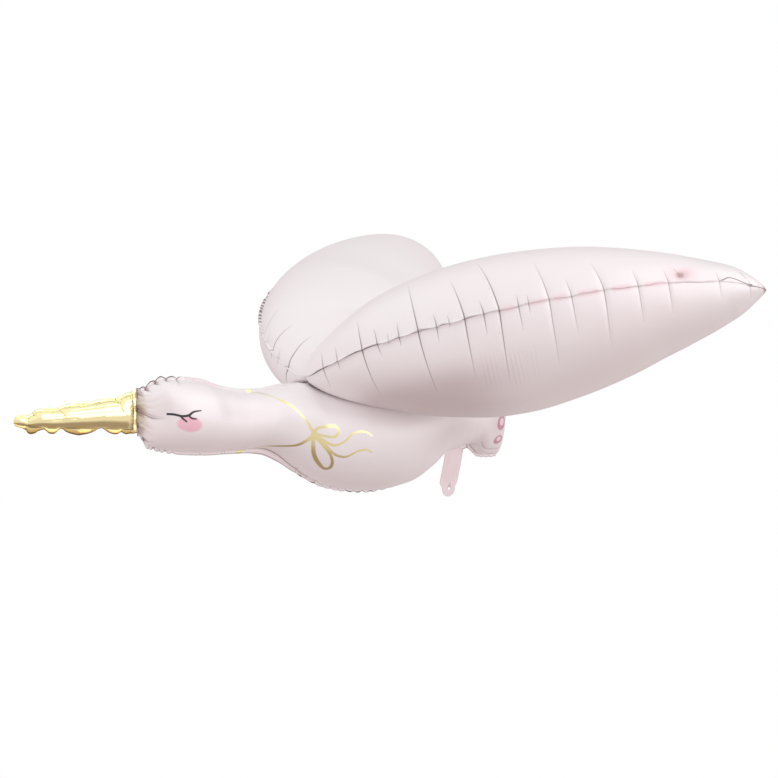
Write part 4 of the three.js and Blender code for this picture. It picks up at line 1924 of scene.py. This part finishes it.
@dataclass(frozen=True)
class Softbox:
    """A round lamp that only shiny film reflects.

    Attributes:
        toward: Direction in which it hangs.
        radius: Half the angle that it fills, in degrees.
        glow: Its radiance, where the white of the picture is 1.
        distance: How far off it hangs, in metres.
    """

    toward: Triple
    radius: float
    glow: float
    distance: float = 6.0

    def build(self) -> None:
        """Hang the lamp."""
        lamp = bpy.data.lights.new("softbox", "AREA")
        lamp.shape = "DISK"
        half = self.distance * math.tan(math.radians(self.radius))
        lamp.size = 2 * half
        lamp.energy = self.glow * math.pi * math.pi * half**2
        softbox = bpy.data.objects.new("softbox", lamp)
        toward = Vector(self.toward).normalized()
        softbox.location = toward * self.distance
        softbox.rotation_euler = toward.to_track_quat("Z", "Y").to_euler()
        softbox.visible_camera = False
        softbox.visible_diffuse = False
        bpy.context.scene.collection.objects.link(softbox)


@dataclass
class Studio:
    """Camera, soft light, and the plain white surroundings.

    Attributes:
        eye: Where the camera is.
        target: What it looks at.
        lens: Its focal length, in millimetres.
        sensor: Width of its picture, in millimetres.
        floor_level: Height of the floor.
        room: Radius of the white room.
        away: Direction in which the room lies that the far sides reflect.
        zenith: Light from above.
        horizon: Light from all round.
        ground: Light from below.
        behind: Light from that far room.
        boxes: The lamps.
    """

    eye: Vector = field(default_factory=lambda: Vector((-2.5139, -3.4658, 0.7567)))
    target: Vector = field(default_factory=lambda: Vector((-0.1762, 0.0, 0.2560)))
    lens: float = 82.47
    sensor: float = 36.0
    floor_level: float = -1.1
    room: float = 58.0
    away: Triple = (0.55, 0.82, 0.15)
    zenith: Colour = (1.11, 1.13, 1.13, 1.0)
    horizon: Colour = (0.95, 0.875, 0.88, 1.0)
    ground: Colour = (0.42, 0.325, 0.30, 1.0)
    behind: Colour = (0.50, 0.44, 0.45, 1.0)
    boxes: tuple[Softbox, ...] = (Softbox((0.55, -0.68, 0.48), 40.0, 1.15),)

    def build(self) -> None:
        """Set up the whole studio."""
        self.camera()
        self.light()
        self.surroundings()
        bpy.context.scene.view_settings.view_transform = "Standard"

    def camera(self) -> None:
        """Place the camera where the photograph was taken."""
        data = bpy.data.cameras.new("camera")
        data.lens, data.sensor_width = self.lens, self.sensor
        data.clip_end = 200
        camera = bpy.data.objects.new("camera", data)
        camera.location = self.eye
        camera.rotation_euler = (self.target - self.eye).to_track_quat("-Z", "Y").to_euler()
        bpy.context.scene.collection.objects.link(camera)
        bpy.context.scene.camera = camera

    def light(self) -> None:
        """Light the bird softly from all round, and put one broad softbox where mirror film reflects it."""
        world = bpy.data.worlds.new("studio")
        bpy.context.scene.world = world
        world.use_nodes = True
        tree = Tree(world.node_tree)
        generated = tree.node("ShaderNodeTexCoord", {}, {}).outputs["Generated"]
        split = tree.node("ShaderNodeSeparateXYZ", {}, {0: generated})
        height = Shade(tree, split.outputs[2])
        colour = tree.mix(height.between(-0.1, 1.0), self.horizon, self.zenith)
        product = {"operation": "DOT_PRODUCT"}
        toward = tree.node("ShaderNodeVectorMath", product, {0: generated, 1: self.away}).outputs["Value"]
        colour = tree.mix(Shade(tree, toward).between(0.55, 1.0), colour, self.behind)
        colour = tree.mix(height.between(-0.88, -0.54), self.ground, colour)
        background = tree.node("ShaderNodeBackground", {}, {"Color": colour, "Strength": 1.0})
        tree.node("ShaderNodeOutputWorld", {}, {"Surface": background.outputs[0]})
        for box in self.boxes:
            box.build()

    def surroundings(self) -> None:
        """Make the white floor and the white room, which only the camera sees."""
        material, tree = new_material("studio_white")
        glow = tree.node("ShaderNodeEmission", {}, {"Color": (1, 1, 1, 1), "Strength": 1.0})
        tree.node("ShaderNodeOutputMaterial", {}, {"Surface": glow.outputs[0]})
        work = bmesh.new()
        bmesh.ops.create_grid(work, x_segments=8, y_segments=8, size=self.room + 2)
        bmesh.ops.translate(work, verts=work.verts, vec=(0, 0, self.floor_level))
        room = bmesh.new()
        bmesh.ops.create_uvsphere(room, u_segments=48, v_segments=24, radius=self.room)
        for name, mesh_work in (("floor", work), ("room", room)):
            mesh = bpy.data.meshes.new(name)
            mesh_work.to_mesh(mesh)
            mesh_work.free()
            mesh.materials.append(material)
            thing = bpy.data.objects.new(name, mesh)
            bpy.context.scene.collection.objects.link(thing)
            thing.visible_diffuse = False
            thing.visible_glossy = False
            thing.visible_transmission = False
            thing.visible_shadow = False


def main() -> None:
    """Build the studio and the bird, piece by piece."""
    logging.basicConfig(level=logging.INFO, format="%(name)s: %(message)s")
    Studio().build()
    body = BodyFilm()
    body.build()
    BeakFilm().build()
    WingPair(body).build()
    FillingTab().build()


if __name__ == "__main__":
    main()
